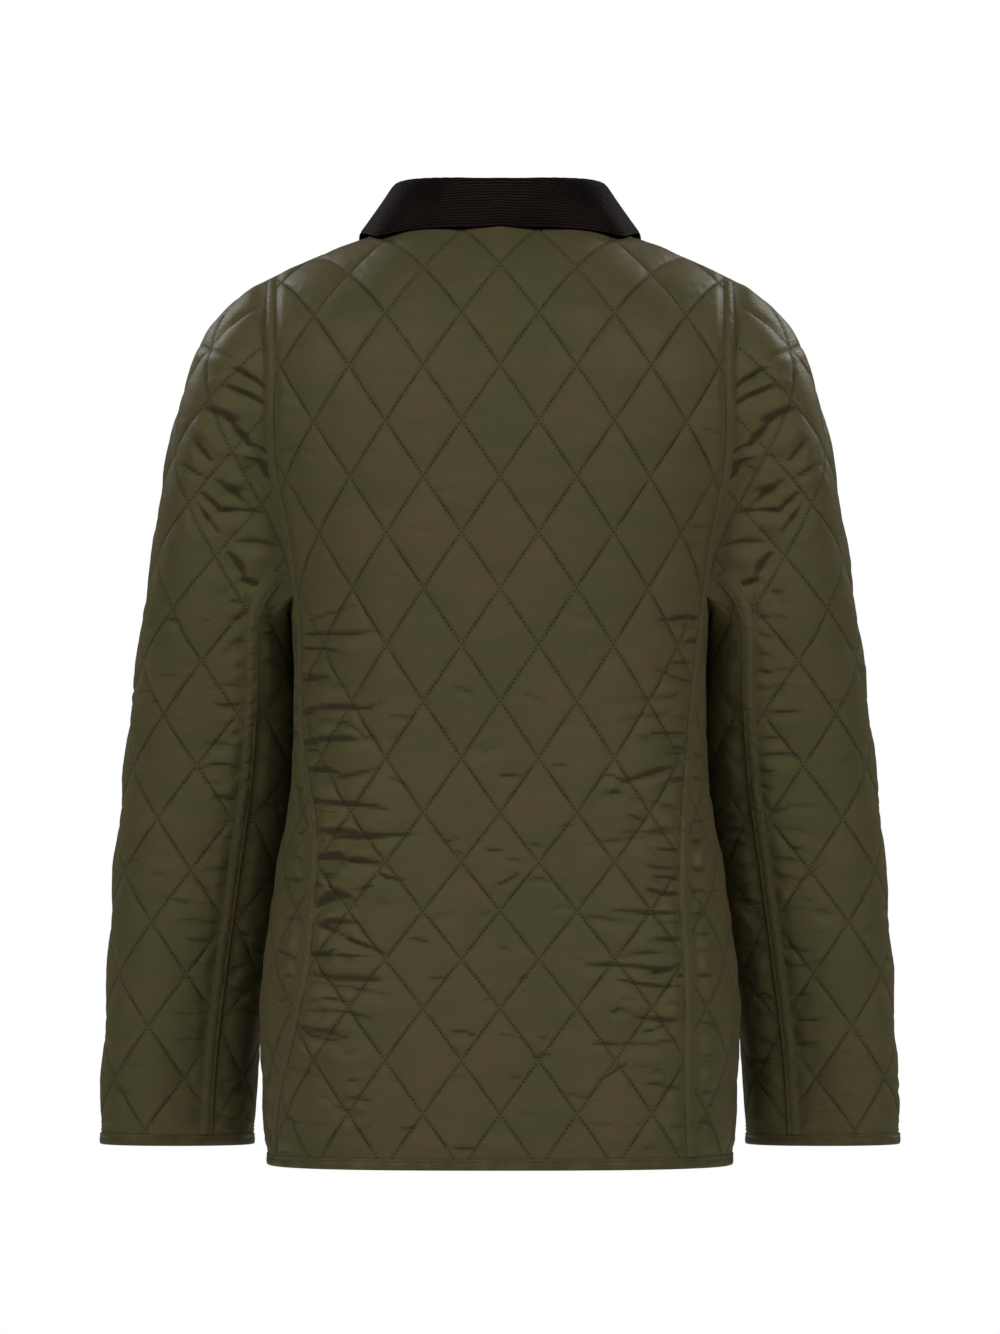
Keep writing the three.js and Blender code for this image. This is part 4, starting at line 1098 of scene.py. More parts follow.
def finish_panel(panel, strips):
    """Builds a panel with its seam strips and its stitches, and works out the size and area it was cut to.
    """
    shells = [wall_shell(panel, FINE, INNER_FINE)]
    sewn = quilt_stitches(panel)
    for edge, ends in strips:
        shells.append(strip_shell(panel, edge, ends))
        sewn += edge_stitches(panel, edge, ends[0] + 2, ends[1] - 2)
    piece = make_piece(
        panel.name + "_quilted", shells, material("quilted_cloth"), [panel.name],
    )
    sewing = make_piece(panel.name + "_stitching", sewn, material("thread"))
    flat, area = flat_size(panel)


# Materials


class Value:
    """One socket of a material. Sums written on it add Math nodes."""

    def __init__(self, finish, socket):
        self.finish, self.socket = finish, socket

    def math(self, operation, other):
        return self.finish.node("ShaderNodeMath", {"operation": operation}, {0: self, 1: other})

    def __add__(self, other):
        return self.math("ADD", other)

    def __mul__(self, other):
        return self.math("MULTIPLY", other)

    def __rsub__(self, other):
        return self.finish.node("ShaderNodeMath", {"operation": "SUBTRACT"}, {0: other, 1: self})


class Finish:
    """A material while its nodes are added and linked."""

    def __init__(self, name):
        self.made = bpy.data.materials.new(f"{name}_finish")
        self.made.use_nodes = True
        self.tree = self.made.node_tree
        self.tree.nodes.clear()
        self.place = self.node("ShaderNodeTexCoord", out="Object")

    def node(self, kind, settings=None, inputs=None, out=0):
        made = self.tree.nodes.new(kind)
        for key, value in (settings or {}).items():
            setattr(made, key, value)
        for key, value in (inputs or {}).items():
            if isinstance(value, Value):
                self.tree.links.new(value.socket, made.inputs[key])
            else:
                made.inputs[key].default_value = value
        return Value(self, made.outputs[out])

    def noise(self, place, scale, detail=2.0, rough=0.5, stretch=None):
        if stretch:
            place = self.node("ShaderNodeVectorMath", {"operation": "MULTIPLY"}, {0: place, 1: stretch})
        return self.node("ShaderNodeTexNoise", {}, {
            "Vector": place, "Scale": scale, "Detail": detail, "Roughness": rough,
        })

    def ease(self, value, start, end, low=0.0, high=1.0):
        return self.node("ShaderNodeMapRange", {"interpolation_type": "SMOOTHSTEP"}, {
            0: value, 1: start, 2: end, 3: low, 4: high,
        })

    def mix(self, share, one, other):
        return self.node("ShaderNodeMix", {"data_type": "RGBA"}, {0: share, 6: one, 7: other}, out=2)

    def bump(self, height, distance, strength=1.0, under=None):
        inputs = {"Height": height, "Distance": distance, "Strength": strength}
        if under is not None:
            inputs["Normal"] = under
        return self.node("ShaderNodeBump", {}, inputs)

    def finish(self, **inputs):
        named = {key.replace("_", " "): value for key, value in inputs.items()}
        shader = self.node("ShaderNodeBsdfPrincipled", {}, named)
        out = self.tree.nodes.new("ShaderNodeOutputMaterial")
        self.tree.links.new(shader.socket, out.inputs[0])
        return self.made


def tone(colour, by):
    return (colour[0] * by, colour[1] * by, colour[2] * by, 1.0)


def quilted_cloth(colours):
    """Olive cloth with a soft sheen, mottled, with painted light on the puckers' lit sides and painted
    shade on their shaded sides, pierced along the stitched lines, with painted shade in the grooves and
    needle holes.
    """
    f = Finish("quilted_cloth")
    flat = f.node("ShaderNodeUVMap", {"uv_map": "cloth"})
    quilt = f.node("ShaderNodeUVMap", {"uv_map": "quilt"})
    a, b = (f.node("ShaderNodeSeparateXYZ", {}, {0: quilt}, out=out) for out in (0, 1))
    far_a, far_b = (x.math("PINGPONG", 0.5) * LINE_LENGTH for x in (a, b))
    far = far_a.math("MINIMUM", far_b)
    # groove: the band along each stitched line, which carries painted shade into the colour and adds some
    # roughness
    groove = f.ease(far, 0.0, 3.2, 1.0, 0.0)
    rows = []
    for away, place in ((far_a, b), (far_b, a)):
        stitch = f.ease((place * STITCHES).math("PINGPONG", 0.5), 0.08, 0.26, 1.0, 0.0)
        rows.append(f.ease(away, 0.3, 0.9, 1.0, 0.0) * stitch)
    holes = rows[0].math("MAXIMUM", rows[1])
    wide = f.noise(f.place, 11, 2, 0.5)
    drawn = f.noise(f.place, 34, 3, 0.6, (0.55, 0.55, 1.7))
    small = f.noise(flat, 380, 3, 0.6, (1.0, 1.6, 1.0))
    patch = f.ease(wide * 0.45 + drawn * 0.55, 0.38, 0.62)
    colour = f.mix(patch, tone(colours.cloth_low, 1), tone(colours.cloth, 1))
    colour = f.mix(f.ease(small, 0.3, 0.75) * 0.25, colour, tone(colours.cloth, 1.25))
    # The fold attribute paints light and shade on the puckers: painted light, lighter and greener, where
    # they face up, and painted shade where they face down
    fold = f.node("ShaderNodeAttribute", {"attribute_name": "fold"}, out=2)
    colour = f.mix(f.ease(fold, 0.08, 0.9) * 0.6, colour, tone(colours.cloth_low, 1.12))
    colour = f.mix(f.ease(fold, -1.15, -0.1, 1.0, 0.0) * 0.85, colour, tone(colours.cloth, 0.36))
    # painted shade in the grooves along the stitched lines
    colour = f.mix(groove * 0.3, colour, tone(colours.cloth_low, 0.5))
    # painted shade in the needle holes between the stitches
    colour = f.mix(holes * 0.55, colour, tone(colours.cloth_low, 0.15))
    weave = f.noise(flat, 1500, 1, 0.5, (1.0, 0.55, 1.0))
    normal = f.bump(weave, 0.00012, 0.5)
    normal = f.bump(small, 0.0006, 0.5, normal)
    normal = f.bump(1 - holes, 0.0005, 0.6, normal)
    return f.finish(
        Base_Color=colour,
        Roughness=f.ease(small, 0.25, 0.8, 0.46, 0.62) + groove * 0.12,
        Normal=normal,
        Sheen_Weight=0.01,
        Sheen_Roughness=0.4,
        Sheen_Tint=(0.75, 0.72, 0.4, 1.0),
        Specular_IOR_Level=0.09,
        Specular_Tint=(0.85, 0.8, 0.5, 1.0),
    )


def tape_cloth(colours):
    """Plain folded tape of the same cloth."""
    f = Finish("binding_tape")
    wide = f.noise(f.place, 60, 3, 0.6)
    small = f.noise(f.place, 700, 2, 0.6)
    colour = f.mix(f.ease(wide, 0.35, 0.7), tone(colours.tape, 0.75), tone(colours.tape, 1.05))
    normal = f.bump(small, 0.0004, 0.5)
    normal = f.bump(wide, 0.001, 0.4, normal)
    return f.finish(
        Base_Color=colour, Roughness=f.ease(small, 0.3, 0.7, 0.45, 0.6), Normal=normal,
        Sheen_Weight=0.015, Sheen_Roughness=0.4, Specular_IOR_Level=0.14,
        Specular_Tint=(0.85, 0.8, 0.5, 1.0),
    )


def thread_finish(colours):
    f = Finish("thread")
    twist = f.noise(f.place, 900, 1, 0.5)
    colour = f.mix(f.ease(twist, 0.3, 0.7), tone(colours.thread, 0.6), tone(colours.thread, 1.2))
    return f.finish(
        Base_Color=colour, Roughness=f.ease(twist, 0.2, 0.8, 0.4, 0.6), Specular_IOR_Level=0.25,
    )


def corduroy_cloth(colours):
    """Dark brown corduroy: worn browner on its ribs, with painted shade near black between them."""
    f = Finish("corduroy")
    rib = f.node("ShaderNodeUVMap", {"uv_map": "quilt"})
    down = f.node("ShaderNodeSeparateXYZ", {}, {0: rib}, out=1)
    crest = f.ease(down.math("PINGPONG", 0.5), 0.12, 0.42)
    nap = f.noise(f.place, 420, 3, 0.65)
    worn = f.noise(f.place, 15, 3, 0.55)
    # painted shade: near black in the valleys between the ribs, the corduroy's own colour on their crests
    colour = f.mix(crest, tone(colours.corduroy, 0.15), tone(colours.corduroy, 1.2))
    colour = f.mix(f.ease(worn, 0.42, 0.62) * crest * 0.9, colour, tone(colours.corduroy, 3.4))
    colour = f.mix(f.ease(nap, 0.35, 0.75) * 0.35, colour, tone(colours.corduroy, 0.45))
    return f.finish(
        Base_Color=colour, Roughness=f.ease(nap, 0.2, 0.8, 0.8, 0.95),
        Normal=f.bump(nap, 0.0006, 0.6),
        Sheen_Weight=0.015, Sheen_Roughness=0.3, Sheen_Tint=(0.55, 0.34, 0.26, 1.0),
        Specular_IOR_Level=0.1,
    )


def stud_metal(colours):
    f = Finish("stud_metal")
    wear = f.noise(f.place, 260, 4, 0.6)
    colour = f.mix(f.ease(wear, 0.35, 0.7), tone(colours.metal, 0.35), tone(colours.metal, 1.0))
    return f.finish(
        Base_Color=colour, Roughness=f.ease(wear, 0.3, 0.8, 0.5, 0.28),
        Normal=f.bump(wear, 0.0002, 0.4), Metallic=1.0,
    )


def floor_paint(colours):
    f = Finish("floor")
    cloud = f.noise(f.place, 3, 2, 0.5)
    colour = f.mix(cloud, (0.86, 0.86, 0.85, 1), (0.9, 0.9, 0.89, 1))
    return f.finish(Base_Color=colour, Roughness=0.7)


FINISHES = {
    "quilted_cloth": quilted_cloth,
    "binding_tape": tape_cloth,
    "thread": thread_finish,
    "corduroy": corduroy_cloth,
    "stud_metal": stud_metal,
    "floor": floor_paint,
}


def material(name):
    made = bpy.data.materials.get(f"{name}_finish")
    return made or FINISHES[name](bpy.context.scene.jacket_colours)


# Settings


def millimetres(name, description, default, least, most):
    return FloatProperty(
        name=name, description=f"{description}, in millimetres", default=default, min=least, max=most,
    )


def shade(name, description, *default):
    return FloatVectorProperty(
        name=name, description=description, subtype="COLOR", default=default, min=0, max=1,
    )


class JacketSewing(bpy.types.PropertyGroup):
    puff: millimetres("Puff", "How far the middle of a diamond stands out", 2.9, 0, 10)
    gather: millimetres("Gathers", "Height of the small gathers beside stitched lines", 0.45, 0, 2)
    ladder: millimetres("Strip gathers", "Height of the gathers across seam strips", 0.65, 0, 2)
    stitch_length: millimetres("Stitch", "Length of a stitch", 2.3, 1, 6)
    thread: millimetres("Thread", "Thickness of the thread", 0.75, 0.2, 2)
    rib: millimetres("Rib spacing", "From rib to rib of the corduroy", 2.2, 1, 6)
    rib_high: millimetres("Rib height", "Height of the corduroy's ribs", 0.5, 0, 2)


class JacketColours(bpy.types.PropertyGroup):
    # cloth, darkened, is also the painted shade on the puckers' shaded sides; cloth_low is also the painted
    # light on their lit sides and the painted shade in the grooves and needle holes
    cloth: shade("Cloth", "Colour of the quilted cloth", 0.081, 0.064, 0.031)
    cloth_low: shade("Cloth, low", "Its darker, greener patches", 0.064, 0.062, 0.027)
    thread: shade("Thread", "Colour of the stitches", 0.091, 0.078, 0.041)
    tape: shade("Tape", "Colour of the bindings", 0.075, 0.065, 0.03)
    corduroy: shade("Corduroy", "Colour of the collar", 0.0052, 0.0026, 0.002)
    metal: shade("Studs", "Colour of the studs' metal", 0.2, 0.15, 0.075)


class JacketStage(bpy.types.PropertyGroup):
    floor: FloatProperty(
        name="Floor", description="Height of the floor under the shoulders", default=-1.42,
        unit="LENGTH",
    )
    away: FloatProperty(
        name="Camera distance", description="From the jacket's middle", default=8.0, unit="LENGTH",
    )
    view_height: FloatProperty(
        name="View height", description="Height of what the camera sees at the jacket",
        default=0.98716, unit="LENGTH",
    )
    aim: FloatProperty(
        name="Aim", description="Height of the middle of the view", default=-0.3197, unit="LENGTH",
    )


# Operators

SENSOR = 36  # millimetres across the camera's film
UNSEEN_LIGHT = 0.02  # strength of the white surroundings as a light; the camera sees them at 1
# Each light's name, place, width, watts and the point it shines at.
LIGHTS = (
    ("left_key", (2.55, 2.7, 1.75), 0.9, 88, (0, 0, -0.25)),
    ("right_key", (-2.55, 2.7, 1.75), 0.9, 86, (0, 0, -0.25)),
    ("left_front", (2.5, -2.7, 1.9), 1.2, 75, (0, 0, -0.3)),
    ("right_front", (-2.5, -2.7, 1.9), 1.2, 84, (0, 0, -0.3)),
)


class JACKET_OT_stage(bpy.types.Operator):
    """Make the floor, the lights and the camera"""

    bl_idname = "jacket.stage"
    bl_label = "Stage"

    def execute(self, context):
        stage = context.scene.jacket_stage
        bpy.ops.object.select_all(action="DESELECT")
        bpy.ops.mesh.primitive_plane_add(size=8, location=(0, 0, stage.floor))
        floor = context.object
        floor.name = "floor"
        bpy.ops.object.transform_apply()
        floor.data.materials.append(material("floor"))
        floor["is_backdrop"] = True

        camera = bpy.data.objects.new("camera", bpy.data.cameras.new("camera"))
        context.scene.collection.objects.link(camera)
        camera.data.sensor_width = SENSOR
        camera.data.lens = SENSOR * stage.away / stage.view_height
        camera.location = (0, stage.away, stage.aim)
        camera.rotation_euler = (math.pi / 2, 0, math.pi)
        camera.data.clip_end = 100
        context.scene.camera = camera

        for name, place, size, power, aim in LIGHTS:
            light = bpy.data.lights.new(name, "AREA")
            light.size, light.energy = size, power
            lamp = bpy.data.objects.new(name, light)
            lamp.location = place
            lamp.rotation_euler = (Vector(aim) - Vector(place)).to_track_quat("-Z", "Y").to_euler()
            context.scene.collection.objects.link(lamp)

        world = bpy.data.worlds.new("studio")
        world.use_nodes = True
        nodes, links = world.node_tree.nodes, world.node_tree.links
        seen, lit = nodes["Background"], nodes.new("ShaderNodeBackground")
        seen.inputs[1].default_value, lit.inputs[1].default_value = 1.0, UNSEEN_LIGHT
        for background in (seen, lit):
            background.inputs[0].default_value = (1, 1, 1, 1)
        path, either = nodes.new("ShaderNodeLightPath"), nodes.new("ShaderNodeMixShader")
        links.new(path.outputs["Is Camera Ray"], either.inputs[0])
        links.new(lit.outputs[0], either.inputs[1])
        links.new(seen.outputs[0], either.inputs[2])
        links.new(either.outputs[0], nodes["World Output"].inputs[0])
        context.scene.world = world
        context.scene.view_settings.view_transform = "Standard"
        return {"FINISHED"}


NECK_TURNS = (20, 34, 42, 49, 56, 63, 70, 77, 84, 90)


def neck_stations(face):
    """Distances round the blade line below points that follow the neckline's curve closely."""
    return [round_to(face, BLADE, NECK_HALF * math.sin(math.radians(turn))) for turn in NECK_TURNS]


def strip_ends(panel, edge):
    """How far a seam strip runs up a panel's side edge."""
    line = panel.left if edge == "left" else panel.right
    return panel.foot + LIP + 0.1, top_of(panel, line(panel.shelf), line) - 0.6


SIDE_SHELF_ROW = 5.5  # of the body's rows of diamonds: where a side panel's columns start


class JACKET_OT_body(bpy.types.Operator):
    """Make the back, the side panels and the fronts"""

    bl_idname = "jacket.body"
    bl_label = "Body panels"

    def execute(self, context):
        back, front = BODY_CLOTH["back"], BODY_CLOTH["front"]
        neck = neck_stations("back")
        panel = Panel(
            "back", back, body_row, BLADE_V,
            lambda v: SEAM_GAP / 2 - back_arm(v), lambda v: back_arm(v, 1) - SEAM_GAP / 2,
            lambda u: body_top("back", u) - SEAM_GAP,
            corners=[-u for u in reversed(neck)] + neck, strips=("left", "right"), seed=11,
        )
        add_puckers(panel, "back")
        finish_panel(panel, [(edge, strip_ends(panel, edge)) for edge in panel.strips])

        for word, side in (("left", 1), ("right", -1)):
            self.side(word, side)
            self.front(word, side, front)
        return {"FINISHED"}

    def side(self, word, side):
        def left(v):
            return back_arm(np.minimum(v, BACK_FOOT - HEM), side) + SEAM_GAP / 2

        def right(v):
            level = np.minimum(v, FRONT_FOOT - HEM)
            return half_round(level) - front_arm(level) - SEAM_GAP / 2

        low = ARMHOLE_LOW - HEM
        ends = (float(left(low)) - SEAM_GAP / 2, float(right(low)) + SEAM_GAP / 2)
        heights = np.arange(0.0, 600)
        shelf = float(np.interp(SIDE_SHELF_ROW, body_row(heights), heights))
        panel = Panel(
            f"side_{word}", BODY_CLOTH["back"], body_row, shelf, left, right,
            lambda u: armhole_foot((u - ends[0]) / (ends[1] - ends[0])) - HEM - FOOT_GAP,
            side=side, start=sum(ends) / 2, seed=21 + side,
            open=lambda u, v: 1 - (1 - PRESSED) * smooth(SIDE_FREE, SIDE_PRESSED, HEM + v),
        )
        add_puckers(panel, "side", side)
        finish_panel(panel, [])

    def front(self, word, side, cloth):
        under = side > 0
        panel = Panel(
            f"front_{word}", cloth, body_row, BLADE_V,
            lambda v: BINDING + SEAM_GAP - LAP + 0 * v, lambda v: front_arm(v) - SEAM_GAP / 2,
            lambda u: body_top("front", u) - SEAM_GAP,
            side=side, corners=neck_stations("front"), strips=("right",), seed=41 + side,
            open=lambda u, v: smooth(PLACKET - LAP, PLACKET - LAP + 16, u),
            drop=lambda u, v: LAP_DROP * smooth(-UNDER_FROM, -UNDER_TO, -u) if under else 0.0,
        )
        add_puckers(panel, "front", side)
        finish_panel(panel, [("right", strip_ends(panel, "right"))])


IN_FRONT, FAR_OFF = -30, 200  # the part of the sleeve's head that can't be seen from behind
LEAN, LEAN_V, LEAN_SPREAD = 1.3, 8, 14  # how the under sleeve leans on the body over its bicep line


class JACKET_OT_sleeves(bpy.types.Operator):
    """Make the upper and under sleeves"""

    bl_idname = "jacket.sleeves"
    bl_label = "Sleeves"

    def execute(self, context):
        whole = SleeveCloth()
        for word, side in (("left", 1), ("right", -1)):
            for part, middle, reach, puff in (
                ("upper", 0.0, SLEEVE_SEAM, 1.0), ("under", 0.5, 0.5 - SLEEVE_SEAM, PRESSED),
            ):
                cloth = whole.facing_middle(middle)
                panel = Panel(
                    f"sleeve_{part}_{word}", cloth, sleeve_row, BICEP_V,
                    lambda v, c=cloth, r=reach: SEAM_GAP / 2 - r * c.total(v),
                    lambda v, c=cloth, r=reach: r * c.total(v) - SEAM_GAP / 2,
                    lambda u, c=cloth: c.top(u) - SEAM_GAP,
                    side=side, top_bevel=HEAD_BEVEL, seed=61 + side + (5 if part == "under" else 0),
                    open=lambda u, v, p=puff: p,
                    drop=self.against_body if part == "under" else lambda u, v: 0.0,
                    strips=("left", "right") if part == "upper" else (),
                )
                if part == "upper":
                    panel.lattice, panel.bent_above = sleeve_cap_counts(cloth), BICEP_V
                add_puckers(panel, part, side)
                if part == "upper":
                    self.cap_folds(panel)
                finish_panel(panel, [(edge, strip_ends(panel, edge)) for edge in panel.strips])
        return {"FINISHED"}

    def against_body(self, u, v):
        """Just below the armhole the under sleeve lies against the side panel."""
        close = np.exp(-(((v - BICEP_V - LEAN_V) / LEAN_SPREAD) ** 2))
        return -LEAN * (close * (1 - smooth(30, 55, np.abs(u))))

    def cap_folds(self, panel):
        """The folds that the sleeve's head hangs in: as shown behind, a little weaker before."""
        table = (
            # from x, z to x, z as seen from behind, depth, half width above and below
            (222, -82, 195, -94, 0.9, 1.3, 2.6),
            (194, -101, 173, -116, 2.8, 2.2, 4.5),
            (200, -114, 173, -129, 2.4, 3.0, 5.5),
            (217, -131, 192, -141, 1.6, 3.0, 5.0),
            (201, -139, 185, -160, 3.2, 2.4, 4.5),
            (180, -157, 170, -165, 2.0, 1.5, 3.0),
            (178, -168, 168, -190, 3.6, 3.0, 5.5),
            (188, -173, 172, -182, 2.4, 2.4, 4.0),
            (224, -153, 211, -171, 1.1, 1.3, 2.6),
            (234, -170, 216, -182, 1.1, 1.3, 2.6),
            (220, -192, 208, -204, 1.9, 1.6, 3.2),
            (224, -199, 210, -221, 2.5, 2.6, 4.6),
            (208, -183, 188, -200, 1.5, 1.6, 3.2),
            (212, -207, 176, -207, 2.0, 2.8, 4.4),
            (199, -237, 190, -256, 2.5, 2.4, 4.4),
            (192, -256, 173, -265, 3.2, 2.4, 4.4),
            (196, -229, 163, -232, 1.5, 3.0, 4.4),
            (186, -266, 178, -274, 2.0, 2.0, 3.0),
        )
        u, v = np.meshgrid(np.arange(0.0, 120), np.arange(BICEP_V - 40, BICEP_V + 260))
        seen = panel.cloth.at(u, v)

        def spot(x, z):
            far = np.hypot(seen[..., 0] - x, seen[..., 2] - z)
            near = np.argmin(np.where(seen[..., 1] < IN_FRONT, far + FAR_OFF, far))
            return np.array([u.ravel()[near], v.ravel()[near]])

        for x0, z0, x1, z1, deep, above, below in table:
            start, end = spot(x0, z0), spot(x1, z1)
            (mid_u, mid_v), (run_u, run_v) = (start + end) / 2, end - start
            length, lean = math.hypot(run_u, run_v), math.degrees(math.atan2(run_v, run_u))
            fold = (mid_u, mid_v, 1.25 * length, lean)
            panel.creases.append(Crease(*fold, 1.15 * deep, 1.1 * above, 1.15 * below))
            panel.folds.append(Crease(*fold, 0.45 * deep, 1.2 * above, 1.2 * below))
            before = (-0.94 * mid_u, mid_v - 6, 1.1 * length, -lean)
            panel.creases.append(Crease(*before, 0.6 * deep, above, below))


TAPE_HALF, LIP, SLOT_HALF = 2.1, 1.3, 1.3  # the tape's lips hold the edges of the panels


def tape_section():
    """A folded tape's section, out from and up from its middle: its outside from the front lip down
    and round to the back lip, and the slot between them that holds the panel's edge."""
    half = BINDING / 2
    lip, slot = half + LIP, SLOT_HALF
    outside = [
        (TAPE_HALF - 0.35, lip), (TAPE_HALF - 0.1, lip - 0.5), (TAPE_HALF - 0.05, half - 0.1),
        (TAPE_HALF - 0.5, half - 0.9), (TAPE_HALF, half - 1.8), (TAPE_HALF + 0.1, 0),
        (TAPE_HALF, -half + 1.4), (TAPE_HALF - 0.5, -half + 0.3), (0.5, -half), (-0.9, -half),
        (-TAPE_HALF, -half + 1), (-TAPE_HALF, 0), (-TAPE_HALF, half), (-TAPE_HALF + 0.35, lip),
    ]
    inside = [(slot, lip - 0.1), (slot, half - 0.2), (-slot, half - 0.2), (-slot, lip - 0.1)]
    return outside, inside


STITCH_ROW = 3  # the point of the section that the row of stitches lies on


def tape_shell(points, out, up, closed, seed):
    """A folded tape along a line, slightly uneven, and its row of stitches."""
    outside, inside = tape_section()
    section = np.array(outside + inside[::-1])
    noise = Noise(seed)
    length = measured(points)[:, None]
    uneven = 0.22 * noise(length / 5.5, np.arange(len(section))[None] * 0.35)
    loose = (section[None, :, 0] > 0) & (np.arange(len(section))[None] < len(outside))
    outward = (section[None, :, 0] + uneven * loose)[..., None]
    skin = points[:, None] + out[:, None] * outward + up[:, None] * section[None, :, 1, None]
    count, size = skin.shape[:2]
    faces = []
    for i in range(count if closed else count - 1):
        for k in range(size):
            a, b = i * size + k, i * size + (k + 1) % size
            c, d = (a + size) % (count * size), (b + size) % (count * size)
            faces += [(a, b, d), (a, d, c)]
    if not closed:
        cap = []
        slot = list(range(len(section) - 1, len(outside) - 1, -1))
        zip_lines(
            list(range(len(outside))), slot, section[:, 0], section[:, 1], 0 * section[:, 0], cap,
        )
        end = (count - 1) * size
        faces += [(a, c, b) for a, b, c in cap]
        faces += [(a + end, b + end, c + end) for a, b, c in cap]
    line, outs = skin[:, STITCH_ROW] + out * 0.25, out
    if closed:
        line, outs = np.concatenate([line, line[:1]]), np.concatenate([outs, outs[:1]])
    return Shell(skin.reshape(-1, 3), faces), row_stitches(line, outs)


TAPE_STEP, CUFF_STEPS, FRONT_STEPS = 2.5, 144, 280


class JACKET_OT_bindings(bpy.types.Operator):
    """Make the folded tapes round the hem, the cuffs and up the fronts"""

    bl_idname = "jacket.bindings"
    bl_label = "Bindings"

    def execute(self, context):
        self.hem()
        whole = SleeveCloth()
        for word, side in (("left", 1), ("right", -1)):
            self.cuff(word, side, whole)
            self.front(word, side)
        return {"FINISHED"}

    def tape(self, name, points, out, up, closed, seed):
        tape, row = tape_shell(points, out, up, closed, seed)
        piece = make_piece(name + "_tape", [tape], material("binding_tape"), [name])
        sewn = make_piece(name + "_stitching", [row], material("thread"))
        corner = tape.points[tape.faces] * MM
        area = np.linalg.norm(np.cross(corner[:, 1] - corner[:, 0], corner[:, 2] - corner[:, 0]), axis=1)

    def hem(self):
        v = BINDING / 2
        half = float(half_round(v))

        def at(u):
            behind = BODY_CLOTH["back"].at(np.abs(u), v)
            before = BODY_CLOTH["front"].at(half - np.abs(u), v)
            point = np.where(np.abs(u)[..., None] < half / 2, behind, before)
            point[..., 0] *= np.sign(u)
            return point

        count = int(2 * (half + LAP) / TAPE_STEP)
        u = np.linspace(-half - LAP, half + LAP, count)
        out = unit(np.cross([0, 0, 1.0], at(u + 1) - at(u - 1)))
        drop = LAP_DROP * smooth(-UNDER_FROM, -UNDER_TO, u - half)
        points = at(u) - out * (WALL / 2 + drop)[:, None]
        up = np.broadcast_to([0, 0, 1.0], points.shape)
        self.tape("hem_binding", points, out, up, False, 81)

    def cuff(self, word, side, whole):
        share = np.linspace(0, 1, CUFF_STEPS + 1)[:-1]
        level = BINDING / 2
        u = share * whole.total(level)
        across = whole.at(u + 1, level) - whole.at(u - 1, level)
        out = unit(np.cross(across, [0, 0, 1.0]))
        points = whole.at(u, level) - out * WALL / 2
        points[:, 0] *= side
        out[:, 0] *= side
        up = np.broadcast_to([0, 0, 1.0], points.shape)
        self.tape(f"cuff_binding_{word}", points, out, up, True, 83 + side)

    def front(self, word, side):
        cloth = BODY_CLOTH["front"]
        u = BINDING / 2 - LAP
        v = np.linspace(FOOT + LIP + 0.2 + SEAM_GAP, body_top("front", u) - 2, FRONT_STEPS)
        out = cloth.out(u, v)
        across = unit(cloth.at(u + 1, v) - cloth.at(u - 1, v))
        points = cloth.at(u, v) - out * (WALL / 2 + (LAP_DROP if side > 0 else 0))
        for vectors in (points, out, across):
            vectors[:, 0] *= side
        self.tape(f"front_binding_{word}", points, out, across, False, 87 + side)


# Collar


def inward(points, by):
    middle = points * [0, 0, 1] + [0, RIDGE_Y, 0]
    return points + unit(middle - points) * by


def neck_points(turn):
    """The neck seam at some angles round from centre back, on the +X side."""
    found = []
    for angle in turn:
        x = min(NECK_HALF * math.sin(angle), NECK_HALF - 0.01)
        face = "back" if math.cos(angle) >= 0 else "front"
        u = round_to(face, BLADE, x)
        found.append(BODY_CLOTH[face].at(u, body_top(face, u)))
    return np.array(found)


def fold_points(turn):
    half, depth, z = (FOLD.read(c, np.degrees(turn)) for c in ("half", "depth", "z"))
    return np.stack([half * np.sin(turn), RIDGE_Y + depth * np.cos(turn), z], axis=-1)


def body_girth(x):
    """The body from back to front over the shoulder, at one distance from the middle."""
    lines = {}
    for face in ("back", "front"):
        foot = BODY_CLOTH[face].at(round_to(face, BLADE, x), BLADE_V)
        lines[face] = profiles(face, np.array([x]), foot[None, 1])[0]
    return np.concatenate([lines["back"], lines["front"][::-1][1:]]), lines


def clear_of_body(point, clear=FALL_CLEAR):
    """Moves a point straight out from the body until the collar clears it."""
    line, _ = body_girth(abs(point[0]))
    gap = np.hypot(line[1:-1, 1] - point[1], line[1:-1, 2] - point[2])
    i = int(gap.argmin()) + 1
    run = line[i + 1] - line[i - 1]
    out = unit(np.array([0, run[2], -run[1]]))
    away = float((point - line[i]) @ out)
    return point + out * (clear - away) if away < clear else point


def fall_point(turn):
    x, down = (float(FALL_EDGE.read(c, math.degrees(turn))) for c in ("x", "down"))
    _, lines = body_girth(x)
    line = lines["back" if math.degrees(turn) <= 90 else "front"]
    lengths = measured(line)
    return clear_of_body(along(line, lengths, np.array([lengths[-1] - down]))[0], EDGE_CLEAR)


FALL_SHARES = (0.2, 0.42, 0.64, 0.84)
COLLAR_STATIONS, FALL_ROWS, STAND_ROWS = 220, 200, 70


def smooth_line(points, count):
    """A line through points, rounded at them, cut into even steps."""
    lengths = measured(points)
    table = [Table("at value", np.stack([lengths, points[:, k]], axis=-1)) for k in range(3)]
    at = np.linspace(0, lengths[-1], count)
    return np.stack([t.read("value", at) for t in table], axis=-1)


